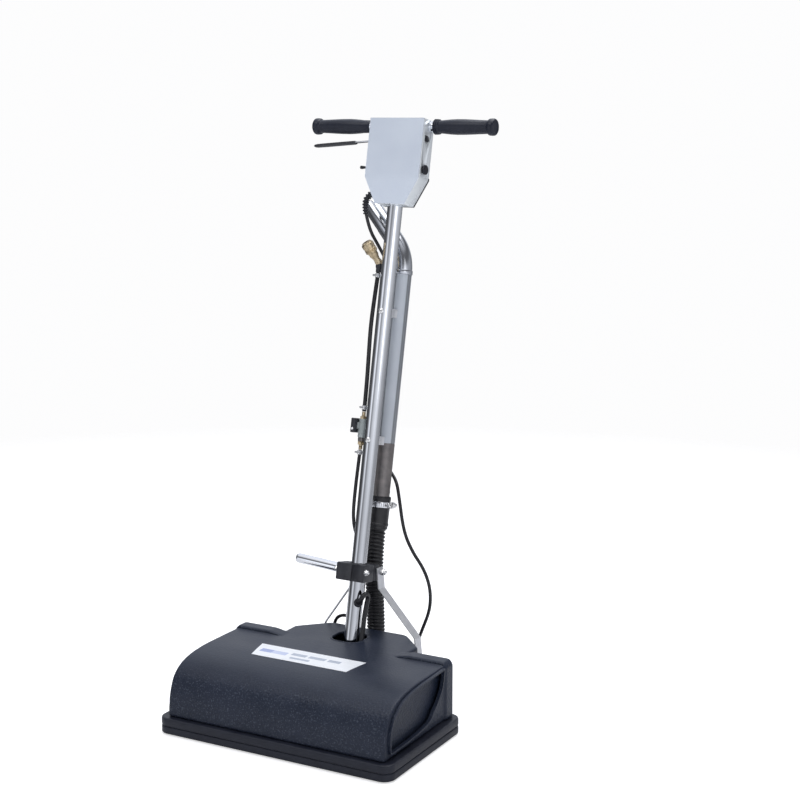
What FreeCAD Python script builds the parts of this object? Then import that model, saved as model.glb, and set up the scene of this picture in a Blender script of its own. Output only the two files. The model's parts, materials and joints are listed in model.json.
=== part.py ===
"""Powered carpet-cleaning floor head with its tilting handle, as a parametric document.

Frame: millimetres, +X to the right seen from the front, +Y to the rear, +Z up.
The origin is on the floor, in the middle of the front glide lip of the vacuum shoe.
Pieces of the handle are drawn in the handle's own frame, whose origin is the tilt pivot
and whose Z runs up the main tube, and are then placed leaning back by handle_lean.
"""
import FreeCAD, Part
import math
import os
import re
from FreeCAD import Placement, Rotation, Vector

doc = FreeCAD.newDocument("FloorHead")

# ---------------------------------------------------------------- driving dimensions
SIZES = {
    # head
    "head_width": 526, "bumper_front": 152, "bumper_rear": 146, "bumper_base": 2, "bumper_top": 34,
    "bumper_corner": 24, "cover_width": 490, "cover_wall": 4,
    "cover_top": 147, "plate_thick": 4, "rim_half": 249, "rim_top": 153, "rim_front": 101, "rim_rear": 133,
    "hump_half": 147, "hump_rear": 234, "hump_base": 48,
    "slot_left": -42, "slot_right": 30, "slot_front": 130, "slot_rear": 197,
    # brush and drive
    "brush_y": -62, "brush_z": 42.5, "brush_tip": 42, "core_radius": 22,
    "brush_half": 205, "shaft_radius": 6, "brush_pulley": 26, "motor_pulley": 18,
    "pulley_width": 10, "pulley_x": -228.5, "motor_y": 74, "motor_z": 101,
    "motor_radius": 42, "running_gap": 0.05,
    # vacuum path and spray
    "shoe_half": 205, "shoe_front": -7, "shoe_rear": 29, "duct_half": 60,
    "port_y": 262, "port_top": 112, "port_radius": 22, "spray_y": -114, "spray_z": 54,
    # wheels and pivots
    "wheel_radius": 36, "wheel_x": 168, "wheel_width": 26, "axle_y": 200,
    "pivot_y": 150.5, "pivot_z": 100, "handle_lean": 12, "pivot_radius": 6,
    "stay_foot_y": 248, "stay_foot_z": 85, "stay_foot_x": 111, "stay_top_x": 34.5,
    "stay_width": 16, "stay_thick": 3, "stay_twist": 22, "stay_knee": 57, "stay_neck": 158,
    "anchor_x": 101,
    # handle tubes
    "tube_radius": 15.875, "tube_wall": 1.65, "vacuum_offset": 61, "vacuum_radius": 19.5,
    "bend_start": 810, "spigot_radius": 19, "spigot_length": 60, "sight_base": 452,
    "cuff_top": 341, "cuff_base": 272.5,
    "bar_level": 1104, "bar_radius": 11.1, "bar_half": 205, "grip_inner": 75,
    "grip_outer": 211,
    # switch box
    "box_half": 63, "box_foot_half": 34.5, "box_top": 1117.5, "box_side": 995.5,
    "box_foot": 940.5, "box_front": -28.3, "box_rear": 18.2, "box_wall": 2,
    "front_plate": 1.5,
    # clamp, peg and small fittings
    "clamp_level": 184, "clamp_height": 36, "ear_e": 30,
    "ear_level": 188, "peg_radius": 10.2, "peg_length": 111, "hose_radius": 4.3,
    "line_x": -25, "cord_radius": 3.5, "cable_radius": 5,
    "duct_hose_radius": 19,
}

sheet = doc.addObject("Spreadsheet::Sheet", "Sizes")
for row, (alias, amount) in enumerate(SIZES.items(), start=1):
    sheet.set(f"A{row}", alias)
    sheet.set(f"B{row}", str(amount))
    sheet.setAlias(f"B{row}", alias)
doc.recompute()


def size(alias):
    """The value of one driving dimension, read back from the sheet."""
    return float(getattr(sheet, alias))


def bound(text):
    """An expression in aliases, with each alias pointed at the sheet."""
    return re.sub(r"[a-z_]{4,}", lambda word: "Sizes." + word[0] if word[0] in SIZES else word[0], str(text))


def bind(item, **entries):
    """Bind properties such as Length or Placement_Base_x to expressions."""
    for key, text in entries.items():
        item.setExpression(key.replace("_", "."), bound(text))
    return item


# ---------------------------------------------------------------- primitives
TURN = {"x": Rotation(Vector(0, 1, 0), 90), "y": Rotation(Vector(1, 0, 0), -90), "z": Rotation()}


def block(name, low, high):
    """Box between two corners; each coordinate is a number or an expression."""
    item = doc.addObject("Part::Box", name)
    sides = [f"({b}) - ({a})" for a, b in zip(low, high)]
    bind(item, Length=sides[0], Width=sides[1], Height=sides[2], Placement_Base_x=low[0],
         Placement_Base_y=low[1], Placement_Base_z=low[2])
    return item


def rod(name, radius, start, length, axis="z"):
    """Cylinder along an axis from its start centre."""
    item = doc.addObject("Part::Cylinder", name)
    item.Placement = Placement(Vector(), TURN[axis])
    bind(item, Radius=radius, Height=length, Placement_Base_x=start[0],
         Placement_Base_y=start[1], Placement_Base_z=start[2])
    return item


def taper(name, radius1, radius2, start, length, axis="z"):
    """Cone between two radii along an axis."""
    item = doc.addObject("Part::Cone", name)
    item.Placement = Placement(Vector(), TURN[axis])
    bind(item, Radius1=radius1, Radius2=radius2, Height=length, Placement_Base_x=start[0],
         Placement_Base_y=start[1], Placement_Base_z=start[2])
    return item


def ring(name, outer, inner, start, length, axis="z"):
    """Tube between two radii."""
    hole = [start[0], start[1], start[2]]
    index = "xyz".index(axis)
    hole[index] = f"({start[index]}) - 1"
    return cut(name, rod(name + "_outside", outer, start, length, axis),
               rod(name + "_hole", inner, hole, f"({length}) + 2", axis))


def fuse(name, *items):
    item = doc.addObject("Part::MultiFuse", name)
    item.Shapes = list(items)
    return item


def cut(name, base, *tools):
    item = doc.addObject("Part::Cut", name)
    item.Base = base
    item.Tool = tools[0] if len(tools) == 1 else fuse(name + "_tools", *tools)
    return item


def group(name, *items):
    """Separate solids that share one node."""
    item = doc.addObject("Part::Compound", name)
    item.Links = list(items)
    return item


def drawing(name, plane, points, closed=True):
    """Sketch of straight lines through points on the XY, XZ or YZ plane."""
    turn = {"XY": Rotation(), "XZ": Rotation(Vector(1, 0, 0), 90),
            "YZ": Rotation(Vector(1, 1, 1), 120)}[plane]
    item = doc.addObject("Sketcher::SketchObject", name)
    item.Placement = Placement(Vector(), turn)
    corners = [Vector(a, b, 0) for a, b in points]
    ends = corners[1:] + corners[:1] if closed else corners[1:]
    for a, b in zip(corners, ends):
        item.addGeometry(Part.LineSegment(a, b), False)
    return item


def extruded(name, plane, points, start, length):
    """Closed outline pushed along its plane's normal, from start for a length."""
    outline = drawing(name + "_outline", plane, points)
    normal = {"XY": Vector(0, 0, 1), "XZ": Vector(0, -1, 0), "YZ": Vector(1, 0, 0)}[plane]
    item = doc.addObject("Part::Extrusion", name)
    item.Base = outline
    item.DirMode = "Custom"
    item.Dir = normal
    item.Solid = True
    bind(item, LengthFwd=length)
    item.Placement = Placement(normal * start, Rotation())
    return item


def turned(name, points, axis="x"):
    """Outline of (along, radius) points turned about the X or Z axis."""
    if axis == "x":
        outline = drawing(name + "_outline", "XY", points)
    else:
        outline = drawing(name + "_outline", "XZ", [(r, a) for a, r in points])
    item = doc.addObject("Part::Revolution", name)
    item.Source = outline
    item.Axis = Vector(1, 0, 0) if axis == "x" else Vector(0, 0, 1)
    item.Angle = 360
    item.Solid = True
    return item


def moved(item, offset, rotation=None):
    item.Placement = Placement(Vector(*offset), rotation or Rotation())
    return item


def shaped(name, shape):
    """Feature with a ready shape, for swept paths and rounded shells."""
    item = doc.addObject("Part::Feature", name)
    item.Shape = shape
    return item


# ---------------------------------------------------------------- paths
def rounded_path(points, radii=None, share=0.45):
    """Straight runs joined by tangent arcs, and the arcs' radii."""
    corners = [Vector(*p) for p in points]
    edges = []
    used = []
    start = corners[0]
    for index in range(1, len(corners) - 1):
        into = corners[index] - corners[index - 1]
        onward = corners[index + 1] - corners[index]
        turn = into.getAngle(onward)
        if radii:
            radius = radii[index - 1]
        else:
            radius = share * min(into.Length, onward.Length) / math.tan(turn / 2)
        trim = radius * math.tan(turn / 2)
        into.normalize()
        onward.normalize()
        first = corners[index] - into * trim
        last = corners[index] + onward * trim
        inward = onward - into
        inward.normalize()
        middle = corners[index] + inward * (radius / math.cos(turn / 2) - radius)
        edges.append(Part.LineSegment(start, first).toShape())
        edges.append(Part.Arc(first, middle, last).toShape())
        used.append(radius)
        start = last
    edges.append(Part.LineSegment(start, corners[-1]).toShape())
    return Part.Wire(edges), used


def swept(points, radius, radii=None, note=None):
    """Round bar along a rounded path; prints its radii when it is a cord."""
    path, used = rounded_path(points, radii)
    first = Vector(*points[1]) - Vector(*points[0])
    section = Part.Wire([Part.makeCircle(radius, Vector(*points[0]), first)])
    solid = path.makePipeShell([section], True, False)
    expected = math.pi * radius ** 2 * path.Length
    if abs(solid.Volume / expected - 1) > 0.01:
        raise RuntimeError(f"{note}: swept volume is off")
    if note:
        print(note, "length", round(path.Length), "radii", [round(r) for r in used])
    return solid


# ---------------------------------------------------------------- the register of nodes
nodes = []
handle_place = Placement(Vector(0, size("pivot_y"), size("pivot_z")),
                         Rotation(Vector(1, 0, 0), -size("handle_lean")))


def node(item, label):
    """Register a finished piece that is drawn in the row's frame."""
    item.Label = label
    nodes.append(item)
    return item


def on_handle(item, label):
    """Register a piece drawn in the handle's frame, and lean it back about the pivot."""
    item.Placement = handle_place * item.Placement
    if item.TypeId != "Part::Feature":
        place = item.Placement.Base
        bind(item, Placement_Base_y=f"pivot_y + {place.y - size('pivot_y')}",
             Placement_Base_z=f"pivot_z + {place.z - size('pivot_z')}")
    return node(item, label)


def handle_point(x, e, along):
    """Row-frame point of a place in the handle's frame."""
    place = handle_place.multVec(Vector(x, e, along))
    return (place.x, place.y, place.z)


# ================================================================ head
def cover_outline(inset):
    """Side profile of the cover in (y, z), drawn inwards by inset."""
    front = -139 + inset
    top = size("cover_top") - inset
    base = size("bumper_top")
    corners = [(front, base), (-132 + inset, 85), (-119 + inset, 113 - inset / 2),
               (-95 + inset / 2, 131.5 - inset), (-60, 142 - inset), (-14, 146.5 - inset),
               (30, top), (116, top), (127 - inset, top - 3), (131 - inset, top - 12),
               (139 - inset, base)]
    return corners


def hump_outline(inset):
    """Plan of the rear extension in (x, y), drawn inwards by inset."""
    half = size("hump_half") - inset
    rear = size("hump_rear") - inset
    corner = [(half, 175 - inset / 2), (94 - inset, rear - 5), (84 - inset, rear)]
    return [(-half, 100), (half, 100), *corner, *[(-x, y) for x, y in reversed(corner)]]


def rear_rim(tag, side):
    """Raised shoulder along the cover's rear edge, from one end to the hump."""
    half, top = size("rim_half"), size("rim_top")
    outline = [(half, size("bumper_top")), (half, top - 9), (half - 8, top), (half - 64, top),
               (half - 100, size("cover_top")), (half - 100, size("bumper_top"))]
    rear = size("rim_rear")
    return extruded(f"rim_{tag}", "XZ", [(side * x, z) for x, z in outline], -rear, "rim_rear - rim_front")


def cover_shell():
    half = size("cover_width") / 2
    wall = size("cover_wall")
    outside = fuse(
        "cover_outside",
        extruded("cover_body", "YZ", cover_outline(0), -half, "cover_width"),
        extruded("cover_hump", "XY", hump_outline(0), size("hump_base"), "cover_top - hump_base"),
        rear_rim("l", -1), rear_rim("r", 1))
    inside = fuse(
        "cover_inside",
        extruded("cover_room", "YZ", cover_outline(wall), -half + wall, "cover_width - 2 * cover_wall"),
        extruded("hump_room", "XY", hump_outline(wall), size("hump_base") - 1,
                 "cover_top - hump_base - cover_wall + 1"))
    mouth = block("cover_mouth", ("slot_left", "slot_front", "cover_top - 20"),
                  ("slot_right", "slot_rear", "cover_top + 5"))
    under = block("cover_under", ("-cover_width / 2 + cover_wall", -135, 20),
                  ("cover_width / 2 - cover_wall", 135, "bumper_top + 0.5"))
    rear_gap = block("cover_rear_gap", ("-hump_half + cover_wall", 125, 20),
                     ("hump_half - cover_wall", 145, "hump_base + 1"))
    shell = cut("cover_hollow", outside, inside, mouth, under, rear_gap)
    posts = []
    holes = []
    for x in (-229, 229):
        for y, top in ((112, 145), (-104, 117)):
            tag = f"{'l' if x < 0 else 'r'}{'r' if y > 0 else 'f'}"
            posts.append(rod(f"boss_{tag}", 5, (x, y, "bumper_top + plate_thick"),
                             f"{top} - bumper_top - plate_thick"))
            holes.append(rod(f"boss_hole_{tag}", 2.6, (x, y, 30), 32))
    return cut("head_cover_cut", fuse("cover_with_bosses", shell, *posts), *holes)


def bumper_ring():
    def plate(name, grow, low, high, radius):
        shape = block(name + "_block", (f"-head_width / 2 + {grow}", f"-bumper_front + {grow}", low),
                      (f"head_width / 2 - {grow}", f"bumper_rear - {grow}", high))
        doc.recompute()
        round_off = doc.addObject("Part::Fillet", name)
        round_off.Base = shape
        upright = [i + 1 for i, edge in enumerate(shape.Shape.Edges)
                   if abs(edge.tangentAt(edge.FirstParameter).z) > 0.9]
        round_off.Edges = [(i, radius, radius) for i in upright]
        return round_off

    corner = size("bumper_corner")
    bands = fuse("bumper_bands",
                 plate("bumper_low", 0, "bumper_base", 16.5, corner),
                 plate("bumper_core", 2.5, 15, 20, corner - 2.5),
                 plate("bumper_high", 0, 18.5, "bumper_top", corner))
    room = plate("bumper_room", 27, 0, 40, 8)
    duct_gap = block("bumper_duct_gap", ("-duct_half - 2", 110, 0), ("duct_half + 2", "bumper_rear + 10", 31.5))
    return cut("bumper_cut", bands, room, duct_gap)


def base_plate():
    main = block("plate_main", (-240, -133, "bumper_top"), (240, 133, "bumper_top + plate_thick"))
    tongue = block("plate_tongue", (-140, 120, "bumper_top"), (140, 222, "bumper_top + plate_thick"))
    tail = block("plate_tail", (-122, 200, "bumper_top"), (122, 258, "bumper_top + plate_thick"))
    window = block("plate_window", (-226, -120, 30), (226, -14, 44))
    belt = block("plate_belt_gap", (-242, -94, 30), (-222.5, 58, 44))
    port = block("plate_port_gap", (-30, 236, 30), (30, 260, 44))
    screws = [rod(f"plate_hole_{i}", 2.8, (x, y, 30), 20)
              for i, (x, y) in enumerate([(-229, 112), (229, 112), (-229, -104), (229, -104)])]
    return cut("base_plate_cut", fuse("plate_all", main, tongue, tail), window, belt, port, *screws)


def cover_screws():
    screws = []
    for i, (x, y) in enumerate([(-229, 112), (229, 112), (-229, -104), (229, -104)]):
        screws.append(fuse(f"cover_screw_{i}", rod(f"screw_head_{i}", 4.6, (x, y, 31), 3),
                           rod(f"screw_shank_{i}", 2.5, (x, y, 33), 24)))
    return group("cover_screw_set", *screws)


def vacuum_shoe():
    body = block("shoe_body", ("-shoe_half", "shoe_front", 0), ("shoe_half", "shoe_rear", 34))
    slot = block("shoe_slot", (-200, 7, -1), (200, 15, 14))
    plenum = block("shoe_plenum", (-200, 1, 12), (200, 25, 31))
    outlet = block("shoe_outlet", (-56, 24, 13), (56, 31, 27))
    nose = extruded("shoe_nose", "YZ", [(-8, -1), (-4.5, -1), (-8, 3.5)], -210, 420)
    heel = extruded("shoe_heel", "YZ", [(30, -1), (26, -1), (30, 3.5)], -210, 420)
    return cut("shoe_cut", body, slot, plenum, outlet, nose, heel)


def vacuum_duct():
    run = block("duct_run", ("-duct_half", "shoe_rear", 9), ("duct_half", "port_y - 25", 31))
    foot = block("duct_foot", (-25, "port_y - 26", 9), (25, "port_y + 25", 31))
    tower = rod("duct_tower", "port_radius", (0, "port_y", 30), "port_top - 30")
    collar = rod("duct_collar", "port_radius + 3", (0, "port_y", 84), 12)
    run_room = block("duct_run_room", (-56, "shoe_rear - 1", 12), (56, "port_y - 28", 28))
    foot_room = block("duct_foot_room", (-20, "port_y - 30", 12), (20, "port_y + 18", 28))
    bore = rod("duct_bore", "port_radius - 4", (0, "port_y", 20), "port_top - 19")
    return cut("duct_cut", fuse("duct_all", run, foot, tower, collar), run_room, foot_room, bore)


def brush_motor():
    can = rod("motor_can", "motor_radius", (-118, "motor_y", "motor_z"), 216, "x")
    bell_l = rod("motor_bell_l", "motor_radius - 4", (-134, "motor_y", "motor_z"), 17, "x")
    bell_r = rod("motor_bell_r", "motor_radius - 4", (97, "motor_y", "motor_z"), 15, "x")
    foot = block("motor_foot", (-100, "motor_y - 26", "bumper_top + plate_thick"),
                 (80, "motor_y + 26", "motor_z - 20"))
    bore = rod("motor_bore", "shaft_radius + running_gap", (-136, "motor_y", "motor_z"), 66, "x")
    return cut("motor_cut", fuse("motor_all", can, bell_l, bell_r, foot), bore)


def belt_loop(grow):
    """Closed outline of the belt, drawn out from both pulleys by grow."""
    low = Vector(0, size("brush_y"), size("brush_z"))
    high = Vector(0, size("motor_y"), size("motor_z"))
    r_low = size("brush_pulley") + grow
    r_high = size("motor_pulley") + grow
    span = high - low
    base = math.atan2(span.z, span.y)
    lean = math.acos((r_low - r_high) / span.Length)

    def at(centre, radius, angle):
        return centre + Vector(0, math.cos(angle), math.sin(angle)) * radius

    a, b = at(low, r_low, base + lean), at(high, r_high, base + lean)
    c, d = at(high, r_high, base - lean), at(low, r_low, base - lean)
    edges = [Part.LineSegment(a, b).toShape(),
             Part.Arc(b, at(high, r_high, base), c).toShape(),
             Part.LineSegment(c, d).toShape(),
             Part.Arc(d, at(low, r_low, base + math.pi), a).toShape()]
    return Part.Face(Part.Wire(edges))


def drive_belt():
    ring_face = belt_loop(2.3).cut(belt_loop(0.3))
    belt = ring_face.extrude(Vector(size("pulley_width") - 2, 0, 0))
    belt.translate(Vector(size("pulley_x") - size("pulley_width") / 2 + 1, 0, 0))
    return shaped("belt", belt)


def end_plates():
    plates = []
    for tag, x in (("l", -222), ("r", 216)):
        upper = block(f"end_upper_{tag}", (x, -126, "bumper_top + plate_thick"), (x + 6, -8, 70))
        lower = block(f"end_lower_{tag}", (x, -100, 18), (x + 6, -24, "bumper_top + plate_thick"))
        hole = rod(f"end_hole_{tag}", 14, (x - 1, "brush_y", "brush_z"), 8, "x")
        plates.append(cut(f"end_plate_{tag}", fuse(f"end_all_{tag}", upper, lower), hole))
    return group("end_plate_pair", *plates)


def bearings():
    return group("bearing_pair", *[
        ring(f"bearing_{tag}", 14, "shaft_radius + running_gap", (x, "brush_y", "brush_z"), 6, "x")
        for tag, x in (("l", -222), ("r", 216))])


def spray_bar():
    bar = rod("spray_tube", 5, (-185, "spray_y", "spray_z"), 370, "x")
    cap_l = rod("spray_cap_l", 6.5, (-190, "spray_y", "spray_z"), 8, "x")
    cap_r = rod("spray_cap_r", 6.5, (182, "spray_y", "spray_z"), 8, "x")
    feed = rod("spray_feed", 4, (0, "spray_y", "spray_z"), 22)
    return fuse("spray_all", bar, cap_l, cap_r, feed)


def nozzles():
    tips = []
    for i, x in enumerate((-170, -60, 60, 170)):
        tip = rod(f"nozzle_tip_{i}", 4, (x, "spray_y", 37), 14)
        hex_part = rod(f"nozzle_nut_{i}", 5, (x, "spray_y", 41), 5)
        bore = rod(f"nozzle_seat_{i}", 5, (x - 9, "spray_y", "spray_z"), 18, "x")
        tips.append(cut(f"nozzle_{i}", fuse(f"nozzle_all_{i}", tip, hex_part), bore))
    return group("nozzle_set", *tips)


def solution_inlet():
    stem = rod("inlet_stem", 5, (-92, "hump_rear", 98), 12, "y")
    nut = rod("inlet_nut", 7, (-92, "hump_rear", 98), 4, "y")
    knee = block("inlet_knee", (-98.8, 241, 92), (-89, 253, 104))
    barb = rod("inlet_barb", 3.7, (-94.8, 247, 102), 14.8)
    return fuse("inlet_all", stem, nut, knee, barb)


def pivot_bracket():
    ears = []
    for tag, inner, outer in (("l", -18, -24), ("r", 18, 24)):
        ear = block(f"ear_{tag}", (min(inner, outer), 134, 38), (max(inner, outer), 167, 118))
        foot = block(f"ear_foot_{tag}", (min(inner, outer * 1.8), 134, 38), (max(inner, outer * 1.8), 167, 42))
        hole = rod(f"ear_hole_{tag}", "pivot_radius + 0.02", (min(inner, outer) - 1, "pivot_y", "pivot_z"),
                   8, "x")
        ears.append(cut(f"ear_cut_{tag}", fuse(f"ear_all_{tag}", ear, foot), hole))
    return group("ear_pair", *ears)


def pivot_bolt():
    return fuse("pivot_bolt_all",
                rod("pivot_shank", "pivot_radius", (-26, "pivot_y", "pivot_z"), 54, "x"),
                rod("pivot_head", 10, (-31, "pivot_y", "pivot_z"), 6.9, "x"),
                rod("pivot_nut", 10, (24.1, "pivot_y", "pivot_z"), 8, "x"))


def stay_anchors():
    anchors = []
    for side in (-1, 1):
        tag = "l" if side < 0 else "r"
        near = side * size("anchor_x")
        plate = block(f"anchor_plate_{tag}", (min(near, near + side * 4), "stay_foot_y - 7", 38),
                      (max(near, near + side * 4), "stay_foot_y + 10", "stay_foot_z + 12"))
        foot = block(f"anchor_foot_{tag}", (min(near - side * 11, near + side * 4), "stay_foot_y - 7", 38),
                     (max(near - side * 11, near + side * 4), "stay_foot_y + 10", 41))
        pin = rod(f"anchor_pin_{tag}", 4, (min(near, near + side * 19), "stay_foot_y", "stay_foot_z"), 19, "x")
        cap_near, cap_far = near + side * 17, near + side * 23
        cap = rod(f"anchor_cap_{tag}", 9, (min(cap_near, cap_far), "stay_foot_y", "stay_foot_z"), 6, "x")
        anchors.append(fuse(f"anchor_{tag}", plate, foot, pin, cap))
    return group("anchor_pair", *anchors)


def wheel_axles():
    axles = []
    for side in (-1, 1):
        tag = "l" if side < 0 else "r"
        flange = block(f"axle_flange_{tag}", (min(side * 140, side * 144), 186, 25),
                       (max(side * 140, side * 144), 214, 47))
        stub = rod(f"axle_stub_{tag}", "shaft_radius", (min(side * 142, side * 184), "axle_y", "wheel_radius"),
                   42, "x")
        cap = rod(f"axle_cap_{tag}", 9, (min(side * 183, side * 187), "axle_y", "wheel_radius"), 4, "x")
        axles.append(fuse(f"axle_{tag}", flange, stub, cap))
    return group("axle_pair", *axles)


def wheel(tag, side):
    start = f"{side} * wheel_x - wheel_width / 2"
    disc = rod(f"wheel_disc_{tag}", "wheel_radius", (start, "axle_y", "wheel_radius"), "wheel_width", "x")
    hub = rod(f"wheel_hub_{tag}", 12, (f"{start} - 0.5", "axle_y", "wheel_radius"), "wheel_width + 1", "x")
    bore = rod(f"wheel_bore_{tag}", "shaft_radius + running_gap", (f"{start} - 2", "axle_y", "wheel_radius"),
               "wheel_width + 4", "x")
    dish = ring(f"wheel_dish_{tag}", 26, 13, (f"{side} * (wheel_x + wheel_width / 2) - 5", "axle_y", "wheel_radius"),
                10, "x")
    return cut(f"wheel_cut_{tag}", fuse(f"wheel_all_{tag}", disc, hub), bore, dish)


node(cover_shell(), "head_cover")
node(bumper_ring(), "bumper")
node(base_plate(), "base_plate")
node(cover_screws(), "cover_screws")
node(vacuum_shoe(), "vacuum_shoe")
node(vacuum_duct(), "vacuum_duct")
node(brush_motor(), "brush_motor")
node(drive_belt(), "drive_belt")
node(end_plates(), "brush_end_plates")
node(bearings(), "brush_bearings")
node(spray_bar(), "spray_manifold")
node(nozzles(), "spray_nozzles")
node(solution_inlet(), "solution_inlet")
node(pivot_bracket(), "pivot_bracket")
node(pivot_bolt(), "pivot_bolt")
node(stay_anchors(), "stay_anchors")
node(wheel_axles(), "wheel_axles")
node(wheel("l", -1), "left_wheel")
node(wheel("r", 1), "right_wheel")

# brush and rotor
node(fuse("core_all",
          rod("core", "core_radius", ("-brush_half", "brush_y", "brush_z"), "2 * brush_half", "x"),
          rod("core_shaft", "shaft_radius", ("pulley_x - 5", "brush_y", "brush_z"), "226 - pulley_x + 5", "x")),
     "brush_core")
node(ring("bristle_sleeve", "brush_tip", "core_radius", ("-brush_half + 4", "brush_y", "brush_z"),
          "2 * brush_half - 8", "x"), "brush_bristles")
node(ring("brush_wheel", "brush_pulley", "shaft_radius", ("pulley_x - pulley_width / 2", "brush_y", "brush_z"),
          "pulley_width", "x"), "brush_pulley")
node(fuse("rotor_all",
          rod("rotor_shaft", "shaft_radius", ("pulley_x - 5", "motor_y", "motor_z"), 160, "x"),
          rod("rotor_wheel", "motor_pulley", ("pulley_x - pulley_width / 2", "motor_y", "motor_z"),
              "pulley_width", "x")), "motor_pulley")


# ================================================================ handle
CABLE_ROOT = Vector(0, 0, 113.5)
CABLE_OUT = Vector(0.6764, -0.5675, 0.4695)


def main_tube():
    outside = rod("tube_outside", "tube_radius", (0, 0, -20), "bar_level + 20")
    inside = rod("tube_inside", "tube_radius - tube_wall", (0, 0, 26), "bar_level")
    bar = rod("tube_saddle", "bar_radius", (-40, 0, "bar_level"), 80, "x")
    pivot = rod("tube_pivot_bore", "pivot_radius + running_gap", (-30, 0, 0), 60, "x")
    bolts = [rod(f"tube_bolt_hole_{i}", 3.05, (0, -30, s), 60, "y") for i, s in enumerate((456, 721.5))]
    exit_hole = shaped("tube_cable_hole", Part.makeCylinder(7, 30, CABLE_ROOT, CABLE_OUT))
    return cut("tube_cut", outside, inside, bar, pivot, exit_hole, *bolts)


def tube_grommet():
    start = CABLE_ROOT + CABLE_OUT * 17.4
    bore = Part.makeCylinder(size("cable_radius"), 5, start, CABLE_OUT)
    eye = Part.makeCylinder(9, 5, start, CABLE_OUT).cut(bore)
    return shaped("grommet", eye.cut(Part.makeCylinder(size("tube_radius"), 80, Vector(0, 0, 90))))


def handlebar():
    return ring("bar_cut", "bar_radius", "bar_radius - 1.6", ("-bar_half", 0, "bar_level"), "2 * bar_half", "x")


def grip(tag, side):
    inner = size("grip_inner")
    outer = size("grip_outer")
    bore = size("bar_radius")
    end = size("bar_half")
    outline = [(inner, bore), (inner, 15.8), (inner + 6, 15.8), (inner + 9, 13), (inner + 30, 14.2),
               (inner + 62, 15.8), (inner + 95, 15), (outer - 16, 13.6), (outer - 13, 16.8),
               (outer - 3, 17.25), (outer, 14), (outer, 0), (end + 0.2, 0), (end + 0.2, bore)]
    item = turned(f"grip_{tag}", outline)
    flip = Rotation() if side > 0 else Rotation(Vector(0, 0, 1), 180)
    return moved(item, (0, 0, size("bar_level")), flip)


def box_outline(inset):
    half = size("box_half") - inset
    foot = size("box_foot_half") - inset * 0.6
    return [(-half, size("box_side")), (-half, size("box_top") - inset), (half, size("box_top") - inset),
            (half, size("box_side")), (foot, size("box_foot") + inset), (-foot, size("box_foot") + inset)]


def box_shell():
    rear = size("box_rear")
    outside = extruded("box_outside", "XZ", box_outline(0), -rear, "box_rear - box_front - front_plate")
    inside = extruded("box_inside", "XZ", box_outline(size("box_wall")), -rear + size("box_wall"),
                      "box_rear - box_front")
    bar = rod("box_bar_hole", "bar_radius + 0.05", (-80, 0, "bar_level"), 160, "x")
    tube = rod("box_tube_hole", "tube_radius + 0.05", (0, 0, "box_foot - 5"), 12)
    lever = block("box_lever_slot", (-70, -7, 1071), (-55, 7, 1079))
    rocker = block("box_rocker_slot", (55, -18, 1070.3), (70, -0.2, 1084.7))
    reset = rod("box_reset_hole", 7.2, (55, -12, 1013.5), 20, "x")
    toggle = rod("box_toggle_hole", 5.2, (-70, -6, 1017.5), 15, "x")
    relief = rod("box_relief_hole", 8, (-47, -4, 967), 24, "x")
    return cut("box_cut", outside, inside, bar, tube, lever, rocker, reset, toggle, moved_relief(relief))


def moved_relief(item):
    """Turn a rod drawn along X so that it leaves square to the box's lower left face."""
    slant = math.degrees(math.atan2(size("box_half") - size("box_foot_half"), size("box_side") - size("box_foot")))
    item.setExpression("Placement.Base.x", None)
    item.setExpression("Placement.Base.z", None)
    item.Placement = Placement(Vector(-39, -4, 972.5), Rotation(Vector(0, 1, 0), -90 - slant))
    return item


def switch_bodies():
    rocker = block("rocker_body", (46, -19.4, 1068.4), (60.6, 1.2, 1086.6))
    reset = rod("reset_body", 7, (36, -12, 1013.5), 26.9, "x")
    reset_room = rod("reset_room", 5.1, (56, -12, 1013.5), 8, "x")
    toggle = rod("toggle_body", 5, (-72, -6, 1017.5), 34, "x")
    toggle_room = rod("toggle_room", 3.4, (-74, -6, 1017.5), 9, "x")
    toggle_nut = ring("toggle_nut", 8, 5.1, (-66.5, -6, 1017.5), 3, "x")
    micro = block("micro_body", (-40, -5, 1081), (-19, 5, 1090.9))
    rocker_cut = cut("rocker_case", rocker, block("rocker_room", (50, -17.8, 1070), (62, -0.4, 1085)))
    hanger = fuse("lever_hanger", block("hanger_top", (-43, -9, 1091.1), (-20, 9, 1092.7)),
                  block("hanger_front", (-43, -9, 1068), (-33, -6.8, 1092.7)),
                  block("hanger_rear", (-43, 6.8, 1068), (-33, 9, 1092.7)))
    hanger_cut = cut("lever_hanger_cut", hanger, rod("hanger_bore", 2.55, (-38, -10, 1073), 20, "y"))
    return group("switch_set", rocker_cut, cut("reset_case", reset, reset_room),
                 cut("toggle_case", toggle, toggle_room), toggle_nut, micro, hanger_cut)


def strain_relief():
    slant = math.atan2(size("box_half") - size("box_foot_half"), size("box_side") - size("box_foot"))
    out = Vector(-math.cos(slant), 0, -math.sin(slant))
    root = Vector(-49.2, -4, 967.2)
    flange = Part.makeCylinder(9.5, 3, root, out)
    sleeve = swept(RELIEF_ROUTE, 7.4, [14, 60])
    bore = swept(RELIEF_ROUTE, size("cord_radius") + 0.02, [14, 60])
    body = flange.fuse(sleeve).cut(bore)
    return shaped("relief", body)


RELIEF_ROUTE = [(-44.5, -4, 969.6), (-65, -5, 959), (-66, -10, 937), (-61.5, -9, 921)]


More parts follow.
